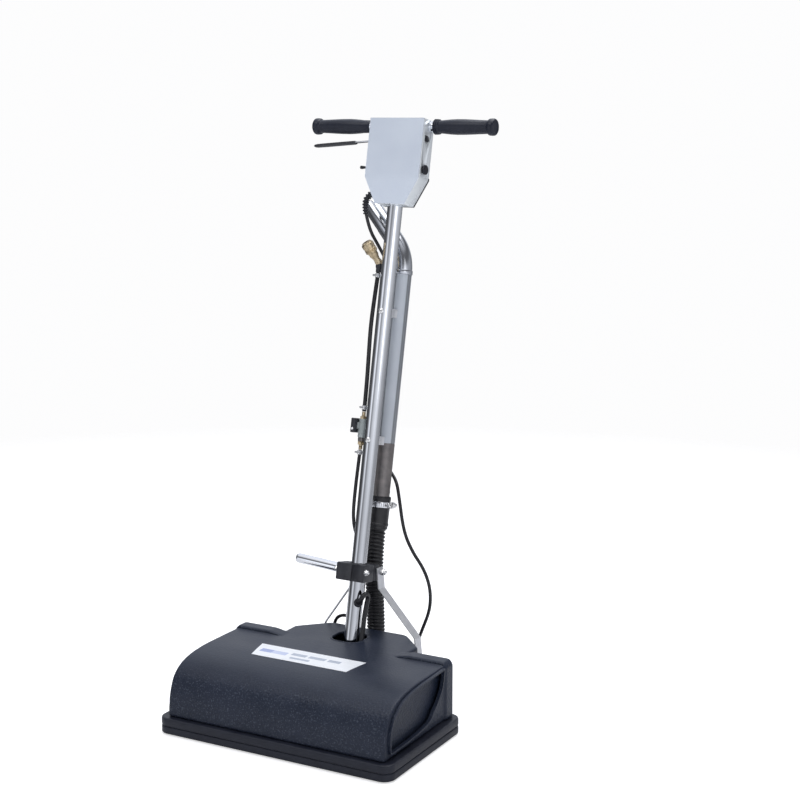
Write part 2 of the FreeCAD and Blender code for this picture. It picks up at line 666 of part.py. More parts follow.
def vacuum_bend():
    offset = size("vacuum_offset")
    route = [(0, offset, size("bend_start")), (0, offset, 848), (-92, offset, 950)]
    outside = swept(route, size("vacuum_radius"), [96])
    inside = swept(route, size("vacuum_radius") - 2.1, [96])
    out = Vector(*route[2]) - Vector(*route[1])
    out.normalize()
    neck = Vector(*route[2]) - out * size("spigot_length")
    step = Part.makeCylinder(25, 70, neck, out).cut(Part.makeCylinder(size("spigot_radius"), 70, neck, out))
    return shaped("bend", outside.cut([inside, step]))


def sight_tube():
    return ring("sight_cut", "vacuum_radius", "vacuum_radius - 2.6", (0, "vacuum_offset", "sight_base"),
                "bend_start - sight_base")


def vacuum_tube():
    lower = rod("lower_outside", "vacuum_radius", (0, "vacuum_offset", 300), "sight_base - 300")
    insert = rod("lower_insert", "vacuum_radius - 2.65", (0, "vacuum_offset", "sight_base - 2"), 20)
    bore = rod("lower_bore", "vacuum_radius - 4.2", (0, "vacuum_offset", 290), 200)
    return cut("lower_cut", fuse("lower_all", lower, insert), bore)


def hose_cuff():
    skin = taper("cuff_skin", 21.4, 22.8, (0, "vacuum_offset", "cuff_base"), "cuff_top - cuff_base")
    seat = rod("cuff_seat", "vacuum_radius", (0, "vacuum_offset", 300), 60)
    bore = rod("cuff_bore", 16, (0, "vacuum_offset", "cuff_base - 5"), 60)
    return cut("cuff_cut", skin, seat, bore)


def hose_clamps():
    band = ring("worm_band", 24.3, 22.85, (0, "vacuum_offset", 318), 12)
    housing = block("worm_housing", (23.6, 54, 317), (31, 72, 331))
    screw = rod("worm_screw", 3.6, (27.5, 45, 324), 33, "y")
    bore = rod("worm_bore", 22.85, (0, "vacuum_offset", 310), 30)
    clamps = [cut("worm_clamp", fuse("worm_all", band, housing, screw), bore)]
    for i, (x, e, s) in enumerate(((-25, 1.5, 791), (-26, 3.3, 517), (-26, 2.6, 424))):
        small = ring(f"small_band_{i}", 6.2, "hose_radius + 0.4", (x, e, s), 8)
        lug = block(f"small_lug_{i}", (x - 3, e - 12, s), (x + 3, e - 5.6, s + 8))
        clamps.append(fuse(f"small_clamp_{i}", small, lug))
    return group("clamp_rings", *clamps)


def tube_brackets():
    brackets = []
    for i, s in enumerate((456, 721.5)):
        spacer = block(f"spacer_{i}", (-9, 12, s - 9), (9, 44, s + 9))
        tube = rod(f"spacer_front_{i}", "tube_radius", (0, 0, s - 12), 24)
        vacuum = rod(f"spacer_rear_{i}", "vacuum_radius", (0, "vacuum_offset", s - 12), 24)
        bolt = rod(f"spacer_bolt_{i}", 3.05, (0, 8, s), 24, "y")
        brackets.append(cut(f"bracket_{i}", spacer, tube, vacuum, bolt))
    return group("bracket_pair", *brackets)


def bracket_bolts():
    bolts = []
    for i, s in enumerate((456, 721.5)):
        head = taper(f"dome_{i}", 3.5, 5.6, (0, -19.1, s), 3.2, "y")
        shank = rod(f"bolt_{i}", 3, (0, -17, s), 48, "y")
        bolts.append(fuse(f"bracket_bolt_{i}", head, shank))
    return group("bolt_pair", *bolts)


def valve():
    body = rod("valve_barrel", 9, ("line_x - 1", 3, 460), 34)
    band = rod("valve_flange", 10, ("line_x - 1", 3, 472), 8)
    link = block("valve_link", (-42, -6, 476), (-30, 6, 490))
    return fuse("valve_all", body, band, link)


def coil():
    can = block("coil_can", (-44, -16, 468), (-32, 8, 498))
    pocket = fuse("coil_room", rod("coil_room_a", 10.05, ("line_x - 1", 3, 450), 60),
                  block("coil_room_b", (-42.02, -6.02, 475.98), (-30, 6.02, 490.02)))
    screw = rod("coil_screw", 2.5, (-39, -18, 476), 3, "y")
    return cut("coil_cut", fuse("coil_all", can, screw), pocket)


def brass_fittings():
    upper = fuse("upper_nipple", rod("upper_hex", 8, ("line_x - 1", 3, 494), 9),
                 rod("upper_barb", 4, ("line_x - 1", 3.5, 503), 9.4))
    lower = fuse("lower_nipple", rod("lower_hex", 8, ("line_x - 1", 3, 444), 16),
                 rod("lower_barb", 4, ("line_x - 1", 3, 434.5), 10.5))
    return group("brass_set", upper, lower)


COUPLER_ROOT = Vector(-25, 2, 821)
COUPLER_AXIS = Vector(-0.405, -0.514, 0.757)


def quick_connect():
    axis = Vector(COUPLER_AXIS)
    axis.normalize()
    stem = Part.makeCylinder(5.5, 15, Vector(size("line_x"), 2, 802), Vector(0, 0, 1))
    knee = Part.makeSphere(7, COUPLER_ROOT)
    neck = Part.makeCone(7, 9.5, 20, COUPLER_ROOT, axis)
    barrel = Part.makeCylinder(10.5, 33, COUPLER_ROOT + axis * 19, axis)
    bore = Part.makeCylinder(7, 20, COUPLER_ROOT + axis * 36, axis)
    return shaped("coupler", stem.fuse([knee, neck, barrel]).cut(bore).removeSplitter())


def coupler_collar():
    axis = Vector(COUPLER_AXIS)
    axis.normalize()
    start = COUPLER_ROOT + axis * 28
    outside = Part.makeCylinder(13, 21, start, axis)
    bore = Part.makeCylinder(10.56, 25, start - axis * 2, axis)
    groove_start = start + axis * 9.5
    groove = Part.makeCylinder(14, 2, groove_start, axis).cut(Part.makeCylinder(12.2, 2, groove_start, axis))
    return shaped("collar", outside.cut(bore).cut(groove))


UPPER_HOSE = [(-25, 2, 801), (-25, -3, 750), (-25, -7, 690), (-25, -3, 630), (-25.5, 2, 570), (-26, 3.5, 513)]

on_handle(main_tube(), "main_tube")
on_handle(tube_grommet(), "tube_grommet")
on_handle(handlebar(), "handlebar")
on_handle(grip("l", -1), "left_grip")
on_handle(grip("r", 1), "right_grip")
on_handle(box_shell(), "box_shell")
on_handle(extruded("plate_outline", "XZ", box_outline(0.5), -(size("box_front") + size("front_plate")),
                   "front_plate"), "box_front_plate")
on_handle(switch_bodies(), "switch_bodies")
on_handle(strain_relief(), "strain_relief")
on_handle(vacuum_bend(), "vacuum_bend")
on_handle(sight_tube(), "sight_tube")
on_handle(vacuum_tube(), "vacuum_tube")
on_handle(hose_cuff(), "hose_cuff")
on_handle(hose_clamps(), "hose_clamps")
on_handle(tube_brackets(), "tube_brackets")
on_handle(bracket_bolts(), "bracket_bolts")
on_handle(valve(), "solution_valve")
on_handle(coil(), "valve_coil")
on_handle(brass_fittings(), "brass_fittings")
on_handle(quick_connect(), "quick_connect")
on_handle(shaped("upper_hose", swept(UPPER_HOSE, size("hose_radius"), note="upper_solution_hose")),
          "upper_solution_hose")
on_handle(coupler_collar(), "quick_connect_collar")


# ---------------------------------------------------------------- controls
def trigger_lever():
    outline = [(-32, 1069), (-32, 1077), (-44, 1077), (-64, 1075.2), (-206, 1063.6), (-206, 1061.6),
               (-64, 1073.2), (-44, 1069)]
    strip = extruded("lever_strip", "XZ", outline, -6, 12)
    pin = rod("lever_pin", 2.5, (-38, -8, 1073), 16, "y")
    return fuse("lever_all", strip, pin)


def trigger_sleeve():
    outline = [(-108, 1074.2), (-204, 1066.4), (-209, 1064.6), (-209, 1060), (-204, 1058.4), (-108, 1066.2)]
    skin = extruded("sleeve_skin", "XZ", outline, -8, 16)
    room = extruded("sleeve_room", "XZ", [(-100, 1072.26), (-206, 1063.6), (-206, 1061.6), (-100, 1070.26)], -6, 12)
    return cut("sleeve_cut", skin, room)


def rocker_cap():
    outline = [(56, 1072.8), (61, 1072.4), (65.8, 1073), (64.4, 1077.6), (63.4, 1082.4), (61, 1083), (56, 1082.6)]
    cap = extruded("rocker_profile", "XZ", outline, 1.6, 15)
    return fuse("rocker_all", cap, rod("rocker_pin", 1.6, (60, -17.4, 1077.5), 16.6, "y"))


def toggle_lever():
    stem = rod("toggle_stem", 2.6, (-76, -6, 1017.5), 9, "x")
    bat = taper("toggle_bat", 3.3, 2.6, (-88, -6, 1017.5), 13, "x")
    pin = rod("toggle_pin", 1.6, (-68, -8.9, 1017.5), 5.8, "y")
    return fuse("toggle_all", stem, bat, pin)


def reset_button():
    stem = rod("reset_stem", 5, (59, -12, 1013.5), 8, "x")
    cap = rod("reset_cap", 10, (65.2, -12, 1013.5), 6, "x")
    return fuse("reset_all", stem, cap)


on_handle(trigger_lever(), "trigger_lever")
on_handle(trigger_sleeve(), "trigger_sleeve")
on_handle(rocker_cap(), "power_rocker")
on_handle(toggle_lever(), "spray_toggle")
on_handle(reset_button(), "reset_button")


# ---------------------------------------------------------------- clamp and stays
def clamp_block():
    half = size("clamp_height") / 2
    low = size("clamp_level") - half
    body = block("clamp_body", (-29.3, -28, low), (29.3, 25, low + 36))
    ears = block("clamp_ears", (-29.3, 20, low + 3), (29.3, 37, low + 36))
    boss = block("clamp_arm", (-37, -28, low), (-25, 14, low + 36))
    tube = rod("clamp_bore", "tube_radius + running_gap", (0, 0, low - 5), 50)
    seam = block("clamp_seam", (-1, -30, low - 1), (1, -10, low + 40))
    front = rod("clamp_front_hole", 3.05, (-50, -22, 187), 100, "x")
    rear = rod("clamp_rear_hole", 4.02, (-60, "ear_e", "ear_level"), 120, "x")
    return cut("clamp_cut", fuse("clamp_all", body, ears, boss), tube, seam, front, rear)


def clamp_bolts():
    front = fuse("front_bolt", rod("front_shank", 3, (-40, -22, 187), 75, "x"),
                 rod("front_head", 5.5, (-42, -22, 187), 4.9, "x"),
                 rod("front_nut", 5.5, (29.4, -22, 187), 5, "x"))
    rear = fuse("rear_bolt", rod("rear_shank", 4, (-44, "ear_e", "ear_level"), 88, "x"),
                rod("rear_head", 7, (-46.6, "ear_e", "ear_level"), 7, "x"),
                rod("rear_nut", 7, (39.6, "ear_e", "ear_level"), 8, "x"))
    return group("clamp_bolt_pair", front, rear)


def peg_handle():
    item = rod("peg", "peg_radius", (-37.9, 0, 186.5), "peg_length")
    item.Placement = Placement(Vector(-37.9, 0, 186.5), Rotation(Vector(0, 1, 0), -90 + 4))
    return item


def stay_section(x, z, reach):
    """Flat bar's section, turned by stay_twist, at a height along the stay."""
    turn = Rotation(Vector(0, 0, 1), -reach * size("stay_twist"))
    half_t, half_w = size("stay_thick") / 2, size("stay_width") / 2
    corners = [turn.multVec(Vector(a, b, 0)) + Vector(x, 0, z)
               for a, b in ((-half_t, -half_w), (half_t, -half_w), (half_t, half_w), (-half_t, half_w))]
    return Part.makePolygon(corners + corners[:1])


def stay(side):
    foot_x = side * size("stay_foot_x")
    top_x = side * size("stay_top_x")
    top = handle_point(0, size("ear_e"), size("ear_level"))
    rise = top[2] - size("stay_foot_z")
    run = top[1] - size("stay_foot_y")
    length = math.hypot(rise, run)
    centreline = [(foot_x, -11), (foot_x, size("stay_knee")), (top_x, size("stay_neck")), (top_x, length + 9)]
    bar = Part.makeLoft([stay_section(x, z, side) for x, z in centreline], True, True)
    foot = Part.makeCylinder(6.6, 24, Vector(foot_x - 12, 0, 0), Vector(1, 0, 0))
    eye = Part.makeCylinder(4 + size("running_gap"), 24, Vector(top_x - 12, 0, length), Vector(1, 0, 0))
    item = shaped("stay_bar", bar.cut([foot, eye]))
    item.Placement = Placement(Vector(0, size("stay_foot_y"), size("stay_foot_z")),
                               Rotation(Vector(1, 0, 0), -math.degrees(math.atan2(run, rise))))
    return item


on_handle(clamp_block(), "clamp_block")
on_handle(clamp_bolts(), "clamp_bolts")
on_handle(peg_handle(), "peg_handle")
node(stay(-1), "left_stay")
node(stay(1), "right_stay")

# ================================================================ hoses and cords
DUCT_HOSE = [(0, size("port_y"), size("port_top")), (0, 262, 166), (0, 255.5, 233), (0, 255.3, 299),
             handle_point(0, size("vacuum_offset"), size("cuff_base") - 0.4)]
LOWER_HOSE = [handle_point(-26, 3, 434), handle_point(-26, 1, 400), handle_point(-25, -3, 345),
              handle_point(-24, -3, 295), handle_point(-25, 12, 255), handle_point(-19, 38, 224),
              handle_point(-12, 49, 185), (-14, 233, 228), (-22, 237, 190), (-42, 241, 161),
              (-74, 244, 163), (-95, 247, 144), (-95, 247, 117)]
MOTOR_CABLE = [handle_point(*(CABLE_ROOT + CABLE_OUT * 22.4)), handle_point(*(CABLE_ROOT + CABLE_OUT * 33.9)),
               handle_point(27.6, -13.5, 144), handle_point(28.6, 1.5, 140), handle_point(25, 3, 117),
               handle_point(24, 1, 92), handle_point(23.5, 2, 62), handle_point(22.5, -1, 30)]
CORD = [handle_point(*RELIEF_ROUTE[-1]), handle_point(-55, -2, 890), handle_point(-42, 24, 858),
        handle_point(-30, 50, 824), handle_point(-25.5, 62, 775), handle_point(-27, 62, 700),
        handle_point(-28, 62, 620), handle_point(-27.5, 62, 540), handle_point(-26, 64, 462),
        handle_point(-20, 82, 418), handle_point(2, 90, 394), handle_point(24, 82, 374),
        handle_point(38, 74, 342), (55, 282, 352), (76, 280, 312), (107, 276, 278), (124, 272, 240),
        (124, 271, 196), (104, 275, 150), (84, 284, 106), (66, 298, 62), (44, 318, 22), (14, 336, 3.6),
        (-32, 344, 3.6), (-78, 338, 3.6), (-120, 318, 3.6)]

node(shaped("duct_hose", swept(DUCT_HOSE, size("duct_hose_radius"), note="vacuum_hose")), "vacuum_hose")
node(shaped("lower_hose", swept(LOWER_HOSE, 3.6, note="lower_solution_hose")), "lower_solution_hose")
node(shaped("cable", swept(MOTOR_CABLE, size("cable_radius"), note="motor_cable")), "motor_cable")
node(shaped("cord", swept(CORD, size("cord_radius"), note="power_cord")), "power_cord")


def mains_plug():
    end = Vector(*CORD[-1])
    out = end - Vector(*CORD[-2])
    out.normalize()
    turn = Rotation(Vector(1, 0, 0), out)
    relief = Part.makeCone(4.2, 6.5, 16, Vector(), Vector(1, 0, 0))
    body = Part.makeBox(26, 27, 20, Vector(15, -13.5, -3.4))
    body = body.makeFillet(4, [e for e in body.Edges if abs(e.tangentAt(0).x) > 0.9])
    pins = [Part.makeBox(19, 1.6, 6.4, Vector(40, y - 0.8, 3.4)) for y in (-6.4, 6.4)]
    pins.append(Part.makeCylinder(2.4, 21, Vector(40, 0, 12), Vector(1, 0, 0)))
    plug = relief.fuse([body] + pins).removeSplitter()
    item = shaped("plug", plug)
    item.Placement = Placement(end, turn)
    return item


node(mains_plug(), "mains_plug")

# ================================================================ check and write
doc.recompute()
for item in doc.Objects:
    if "Invalid" in item.State or "Error" in item.State:
        raise RuntimeError(f"{item.Label}: {item.State}")
for item in nodes:
    if item.Shape.isNull() or not item.Shape.isValid() or not item.Shape.Solids:
        raise RuntimeError(f"{item.Label}: bad shape")
os.makedirs("parts", exist_ok=True)
for item in nodes:
    item.Shape.exportStep(f"parts/{item.Label}.step")
print(len(nodes), "nodes written")
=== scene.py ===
"""Carpet-cleaning floor head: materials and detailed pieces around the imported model."""
import bmesh
import bpy
import json
import math
from mathutils import Matrix, Vector


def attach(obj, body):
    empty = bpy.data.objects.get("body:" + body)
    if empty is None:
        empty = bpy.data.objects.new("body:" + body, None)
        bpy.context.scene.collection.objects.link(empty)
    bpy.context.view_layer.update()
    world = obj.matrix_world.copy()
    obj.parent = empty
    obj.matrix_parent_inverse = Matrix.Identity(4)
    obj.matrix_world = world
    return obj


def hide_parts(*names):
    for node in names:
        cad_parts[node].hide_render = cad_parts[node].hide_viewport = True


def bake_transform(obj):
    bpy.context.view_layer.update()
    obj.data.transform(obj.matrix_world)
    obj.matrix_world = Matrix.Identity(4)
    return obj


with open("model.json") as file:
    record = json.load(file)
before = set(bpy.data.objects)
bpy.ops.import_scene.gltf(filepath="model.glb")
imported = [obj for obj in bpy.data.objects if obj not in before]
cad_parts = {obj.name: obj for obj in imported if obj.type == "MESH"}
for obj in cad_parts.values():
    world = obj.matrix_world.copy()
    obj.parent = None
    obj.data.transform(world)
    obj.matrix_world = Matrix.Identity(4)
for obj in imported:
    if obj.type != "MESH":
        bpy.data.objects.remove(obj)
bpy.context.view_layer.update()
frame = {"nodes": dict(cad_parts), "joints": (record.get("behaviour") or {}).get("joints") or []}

# ---------------------------------------------------------------- spaces
MM = 0.001
ACROSS = (1, 0, 0)
ALONG = (0, 0, 1)
BAR_UP = 1104        # handlebar's axis, along the handle from its pivot
PIPE_REAR = 61       # vacuum tube's axis, behind the main tube's
PIPE = ((0, PIPE_REAR, 0), ALONG)
TUBE = ((0, 0, 0), ALONG)
BOX_FOOT, BOX_FOLD = 940.5, 995.5
COVER_HALF = 245
COVER_FOOT, CREST = 34, 147
VOXEL = 0.0022       # cover's remesh, in metres
SOFTENING = 9        # rounds of smoothing that blur the cover's edges
THINNEST = 0.02      # radius where a turned shape comes to a point
CREASE = 0.45        # edges sharper than this, in radians, are bevelled
joints = {joint["name"]: joint for joint in frame["joints"]}
PIVOT = Vector(joints["handle_tilt"]["pos_m"])
UP = Vector(joints["clamp_slide"]["axis"])
REAR = UP.cross(Vector((1, 0, 0)))
ROW = Matrix.Scale(MM, 4)
LEAN = Matrix(((1, REAR.x, UP.x), (0, REAR.y, UP.y), (0, REAR.z, UP.z))).to_4x4()
HANDLE = Matrix.Translation(PIVOT) @ LEAN @ ROW


def handle_point(x, rear, up):
    """Row-frame point, in metres, of a place given in the handle's frame in millimetres."""
    return tuple(HANDLE @ Vector((x, rear, up)))


def on_handle(points):
    """Row-frame points, in metres, of places given in the handle's frame in millimetres."""
    return [handle_point(*point) for point in points]


def metres(points):
    """Row-frame points given in millimetres, in metres."""
    return [tuple(MM * value for value in point) for point in points]


# ---------------------------------------------------------------- camera
camera = bpy.data.objects.new("camera", bpy.data.cameras.new("camera"))
bpy.context.scene.collection.objects.link(camera)
bpy.context.scene.camera = camera
camera.location = (1.6044, -2.5499, 1.2045)
camera.rotation_mode = "QUATERNION"
camera.rotation_quaternion = Vector((-0.4745, 0.8626, -0.1756)).to_track_quat("-Z", "Y")
camera.data.lens = 72
camera.data.sensor_width = 36
camera.data.clip_end = 60


# ---------------------------------------------------------------- finishes
ROUGH_DRIFT = 0.25


class Graph:
    """The nodes of a material or of the world, added one call at a time."""

    def __init__(self, owner):
        owner.use_nodes = True
        self.nodes = owner.node_tree.nodes
        self.link = owner.node_tree.links.new

    def add(self, kind, inputs=(), **settings):
        """New node's outputs; each input takes a plain value or another node's output."""
        node = self.nodes.new("ShaderNode" + kind)
        for name, value in settings.items():
            setattr(node, name, value)
        for name, value in dict(inputs).items():
            if isinstance(value, bpy.types.NodeSocket):
                self.link(value, node.inputs[name])
            else:
                node.inputs[name].default_value = value
        return node.outputs

    def maths(self, operation, *values):
        return self.add("Math", enumerate(values), operation=operation)["Value"]

    def span(self, value, low, high, to_low=0.0, to_high=1.0):
        """Map the values from low to high onto to_low to to_high."""
        return self.add("MapRange", {"Value": value, "From Min": low, "From Max": high, "To Min": to_low,
                                     "To Max": to_high})["Result"]

    def blend(self, factor, start, end, kind="MIX"):
        return self.add("Mix", {"Factor": factor, "A": start, "B": end}, data_type="RGBA",
                        blend_type=kind)["Result"]

    def noise(self, place, scale, detail):
        return self.add("TexNoise", {"Vector": place, "Scale": scale, "Detail": detail})["Fac"]

    def ramp(self, source, stops, tint=(1, 1, 1), interpolation="LINEAR"):
        """Colour ramp; each stop is a position with a grey value or a colour."""
        node = self.nodes.new("ShaderNodeValToRGB")
        node.color_ramp.interpolation = interpolation
        elements = node.color_ramp.elements
        while len(elements) < len(stops):
            elements.new(0.5)
        for element, (position, value) in zip(elements, stops):
            element.position = position
            shade = value if isinstance(value, tuple) else [value * share for share in tint]
            element.color = (*shade, 1)
        self.link(source, node.inputs["Fac"])
        return node.outputs["Color"]

    def recolour(self, factor, colour, kind="MIX"):
        """Mix a colour into the material's base colour."""
        base = self.nodes["Principled BSDF"].inputs["Base Color"]
        self.link(self.blend(factor, base.links[0].from_socket, colour, kind), base)


def finish(name, colour, second=None, rough=0.4, metal=0.0, patch=30, grain=0.0, fine=900,
           depth=0.0003, upright=1.0, **sockets):
    """Material whose colour and roughness drift between two tones, with a fine bump.

    patch and fine are noise scales per metre, grain and depth the bump; upright is the
    share of the bump left on faces that look up.
    """
    material = bpy.data.materials.new(name)
    graph = Graph(material)
    shader = graph.nodes["Principled BSDF"]
    shader.inputs["Metallic"].default_value = metal
    for socket, value in sockets.items():
        shader.inputs[socket.replace("_", " ")].default_value = value
    place = graph.add("TexCoord")
    drift = graph.noise(place["Object"], patch, 5)
    graph.link(graph.ramp(drift, ((0.3, colour), (0.72, second or colour))), shader.inputs["Base Color"])
    graph.link(graph.span(drift, 0, 1, rough * (1 - ROUGH_DRIFT), rough * (1 + ROUGH_DRIFT)),
               shader.inputs["Roughness"])
    if grain:
        strength = grain
        if upright != 1:
            normal = graph.add("SeparateXYZ", {"Vector": place["Normal"]})
            strength = graph.span(normal["Z"], 0.6, 0.97, grain, grain * upright)
        bump = graph.add("Bump", {"Height": graph.noise(place["Object"], fine, 3),
                                  "Strength": strength, "Distance": depth})
        graph.link(bump["Normal"], shader.inputs["Normal"])
    return material


def painted_wall_shade(material, stops):
    """Paint bands of shade into a material's colour by how far its surface turns from the eye, as a clear
    tube's wall shows.
    """
    graph = Graph(material)
    facing = graph.add("LayerWeight", {"Blend": 0.5})["Facing"]
    graph.recolour(1, graph.ramp(facing, stops), "MULTIPLY")
    return material


def painted_glints(material, scale, colour, share):
    """Paint pale glints into a material's colour on its steep faces, where light catches its coarse grain."""
    graph = Graph(material)
    place = graph.add("TexCoord")
    glints = graph.span(graph.noise(place["Object"], scale, 1), 0.56, 0.70)
    normal = graph.add("SeparateXYZ", {"Vector": place["Normal"]})
    steep = graph.span(normal["Z"], 0.55, 0.95, share, share * 0.2)
    frontal = graph.span(graph.maths("ABSOLUTE", normal["X"]), 0.4, 0.9, 1.0, 0.15)
    amount = graph.maths("MULTIPLY", graph.maths("MULTIPLY", glints, frontal), steep)
    graph.recolour(amount, (*colour, 1))
    return material


def painted_shade_below(material, low, high, share):
    """Paint shade into a material's colour: darken it to a share of itself from one height down to another.
    """
    graph = Graph(material)
    place = graph.add("SeparateXYZ", {"Vector": graph.add("TexCoord")["Object"]})
    graph.recolour(1, graph.span(place["Z"], low, high, share), "MULTIPLY")
    return material


# shell plastic: painted glints, pale specks on its steep faces where light catches the grain
SHELL = painted_glints(finish("shell plastic", (0.012, 0.018, 0.035), (0.020, 0.027, 0.048), patch=14,
                        grain=1.0, fine=230, depth=0.0016, upright=0.2, Specular_IOR_Level=0.3),
                 360, (0.085, 0.10, 0.135), 0.6)
BUMPER = finish("bumper rubber", (0.012, 0.014, 0.024), (0.020, 0.023, 0.036), rough=0.42, patch=40,
                grain=0.3, fine=600, Specular_IOR_Level=0.3)
CHROME = finish("chrome", (0.80, 0.82, 0.86), (0.86, 0.88, 0.92), rough=0.07, metal=1, patch=25,
                grain=0.02, fine=60, depth=0.0005)
# tube chrome: painted shade, its colour darkened to 0.6 of itself from 0.85 m down to 0.40 m
TUBE_CHROME = painted_shade_below(finish("tube chrome", (0.80, 0.82, 0.86), (0.86, 0.88, 0.92), rough=0.07, metal=1,
                            patch=25, grain=0.02, fine=60, depth=0.0005), 0.40, 0.85, 0.6)
CAST = finish("cast metal", (0.36, 0.40, 0.40), (0.46, 0.50, 0.50), rough=0.45, metal=0.3, patch=70,
              grain=0.3)
BEND_STEEL = finish("bend steel", (0.52, 0.54, 0.58), (0.60, 0.62, 0.66), rough=0.16, metal=1,
                    grain=0.02, fine=80, depth=0.0005)
POLISHED = finish("polished steel", (0.72, 0.73, 0.76), (0.80, 0.81, 0.84), rough=0.14, metal=1, patch=40,
                  grain=0.03, fine=200)
DULL = finish("dull steel", (0.17, 0.16, 0.16), (0.27, 0.25, 0.24), rough=0.42, metal=0.9, patch=60,
              grain=0.15, fine=700)
ZINC = finish("zinc plate", (0.66, 0.67, 0.70), (0.76, 0.77, 0.79), rough=0.38, metal=0.5, patch=90,
              grain=0.12, fine=1100)
BRIGHT = finish("bright zinc", (0.80, 0.80, 0.80), (0.90, 0.90, 0.90), rough=0.2, metal=0.9, patch=120,
                grain=0.08, fine=1500)
ALUMINIUM = finish("front plate", (0.77, 0.84, 0.95), (0.81, 0.88, 0.98), rough=0.32, metal=0.55, patch=18,
                   grain=0.08, fine=1800, depth=0.0001)
# clear tube: painted shade bands in its colour, by how far the surface turns from the eye
CLEAR = painted_wall_shade(finish("clear tube", (0.66, 0.71, 0.78), (0.74, 0.79, 0.85), rough=0.16, patch=20,
                          grain=0.05, fine=300, Transmission_Weight=0.15),
                   [(0.0, 1.0), (0.16, 0.95), (0.24, 0.30), (0.34, 0.42), (0.60, 0.30), (0.85, 0.75)])
BOX = finish("box steel", (0.88, 0.93, 0.96), (0.92, 0.96, 0.98), rough=0.3, metal=0.45, patch=16,
             grain=0.05, depth=0.0001)
GRIP = finish("grip rubber", (0.010, 0.013, 0.025), (0.017, 0.021, 0.036), rough=0.36, patch=60,
              grain=0.25, Specular_IOR_Level=0.35)
HOSE = finish("hose rubber", (0.010, 0.010, 0.012), (0.020, 0.020, 0.023), rough=0.36, patch=70,
              grain=0.2, fine=1500)
BLACK = finish("black plastic", (0.020, 0.021, 0.027), (0.034, 0.036, 0.044), patch=80,
               grain=0.25, fine=1400)
BRASS = finish("brass", (0.48, 0.38, 0.24), (0.60, 0.50, 0.34), rough=0.3, metal=0.9, patch=60,
               grain=0.04)
PAINT = finish("motor paint", (0.05, 0.055, 0.06), (0.08, 0.085, 0.09), rough=0.5, patch=60, grain=0.4)
BRISTLE = finish("bristle nylon", (0.03, 0.07, 0.22), (0.07, 0.14, 0.38), rough=0.45, patch=300,
                 grain=0.5, fine=3000)
TYRE = finish("tyre rubber", (0.10, 0.10, 0.105), (0.16, 0.16, 0.165), rough=0.6, patch=90, grain=0.35,
              fine=1500)
BELT = finish("belt rubber", (0.012, 0.012, 0.012), (0.025, 0.025, 0.025), rough=0.6, patch=90, grain=0.4,
              fine=1500)
BUTTON = finish("button black", (0.010, 0.011, 0.016), (0.016, 0.017, 0.024), rough=0.3, patch=90,
                grain=0.15, fine=1800, Specular_IOR_Level=0.3)
CORD_SKIN = finish("cord jacket", (0.013, 0.013, 0.016), (0.022, 0.022, 0.026), rough=0.38, patch=90,
                   grain=0.2, fine=1500)
LABEL_WHITE = finish("label film", (0.90, 0.93, 0.97), (0.94, 0.96, 0.99), rough=0.3, patch=12, grain=0.05)
LABEL_GREY = finish("label ink", (0.42, 0.47, 0.57), (0.50, 0.55, 0.65), rough=0.35, patch=40)
LABEL_BLUE = finish("label blue", (0.30, 0.36, 0.66), (0.40, 0.47, 0.76), rough=0.3, patch=9)
LABEL_SKY = finish("label sky", (0.50, 0.57, 0.82), (0.64, 0.70, 0.90), rough=0.3, patch=9)


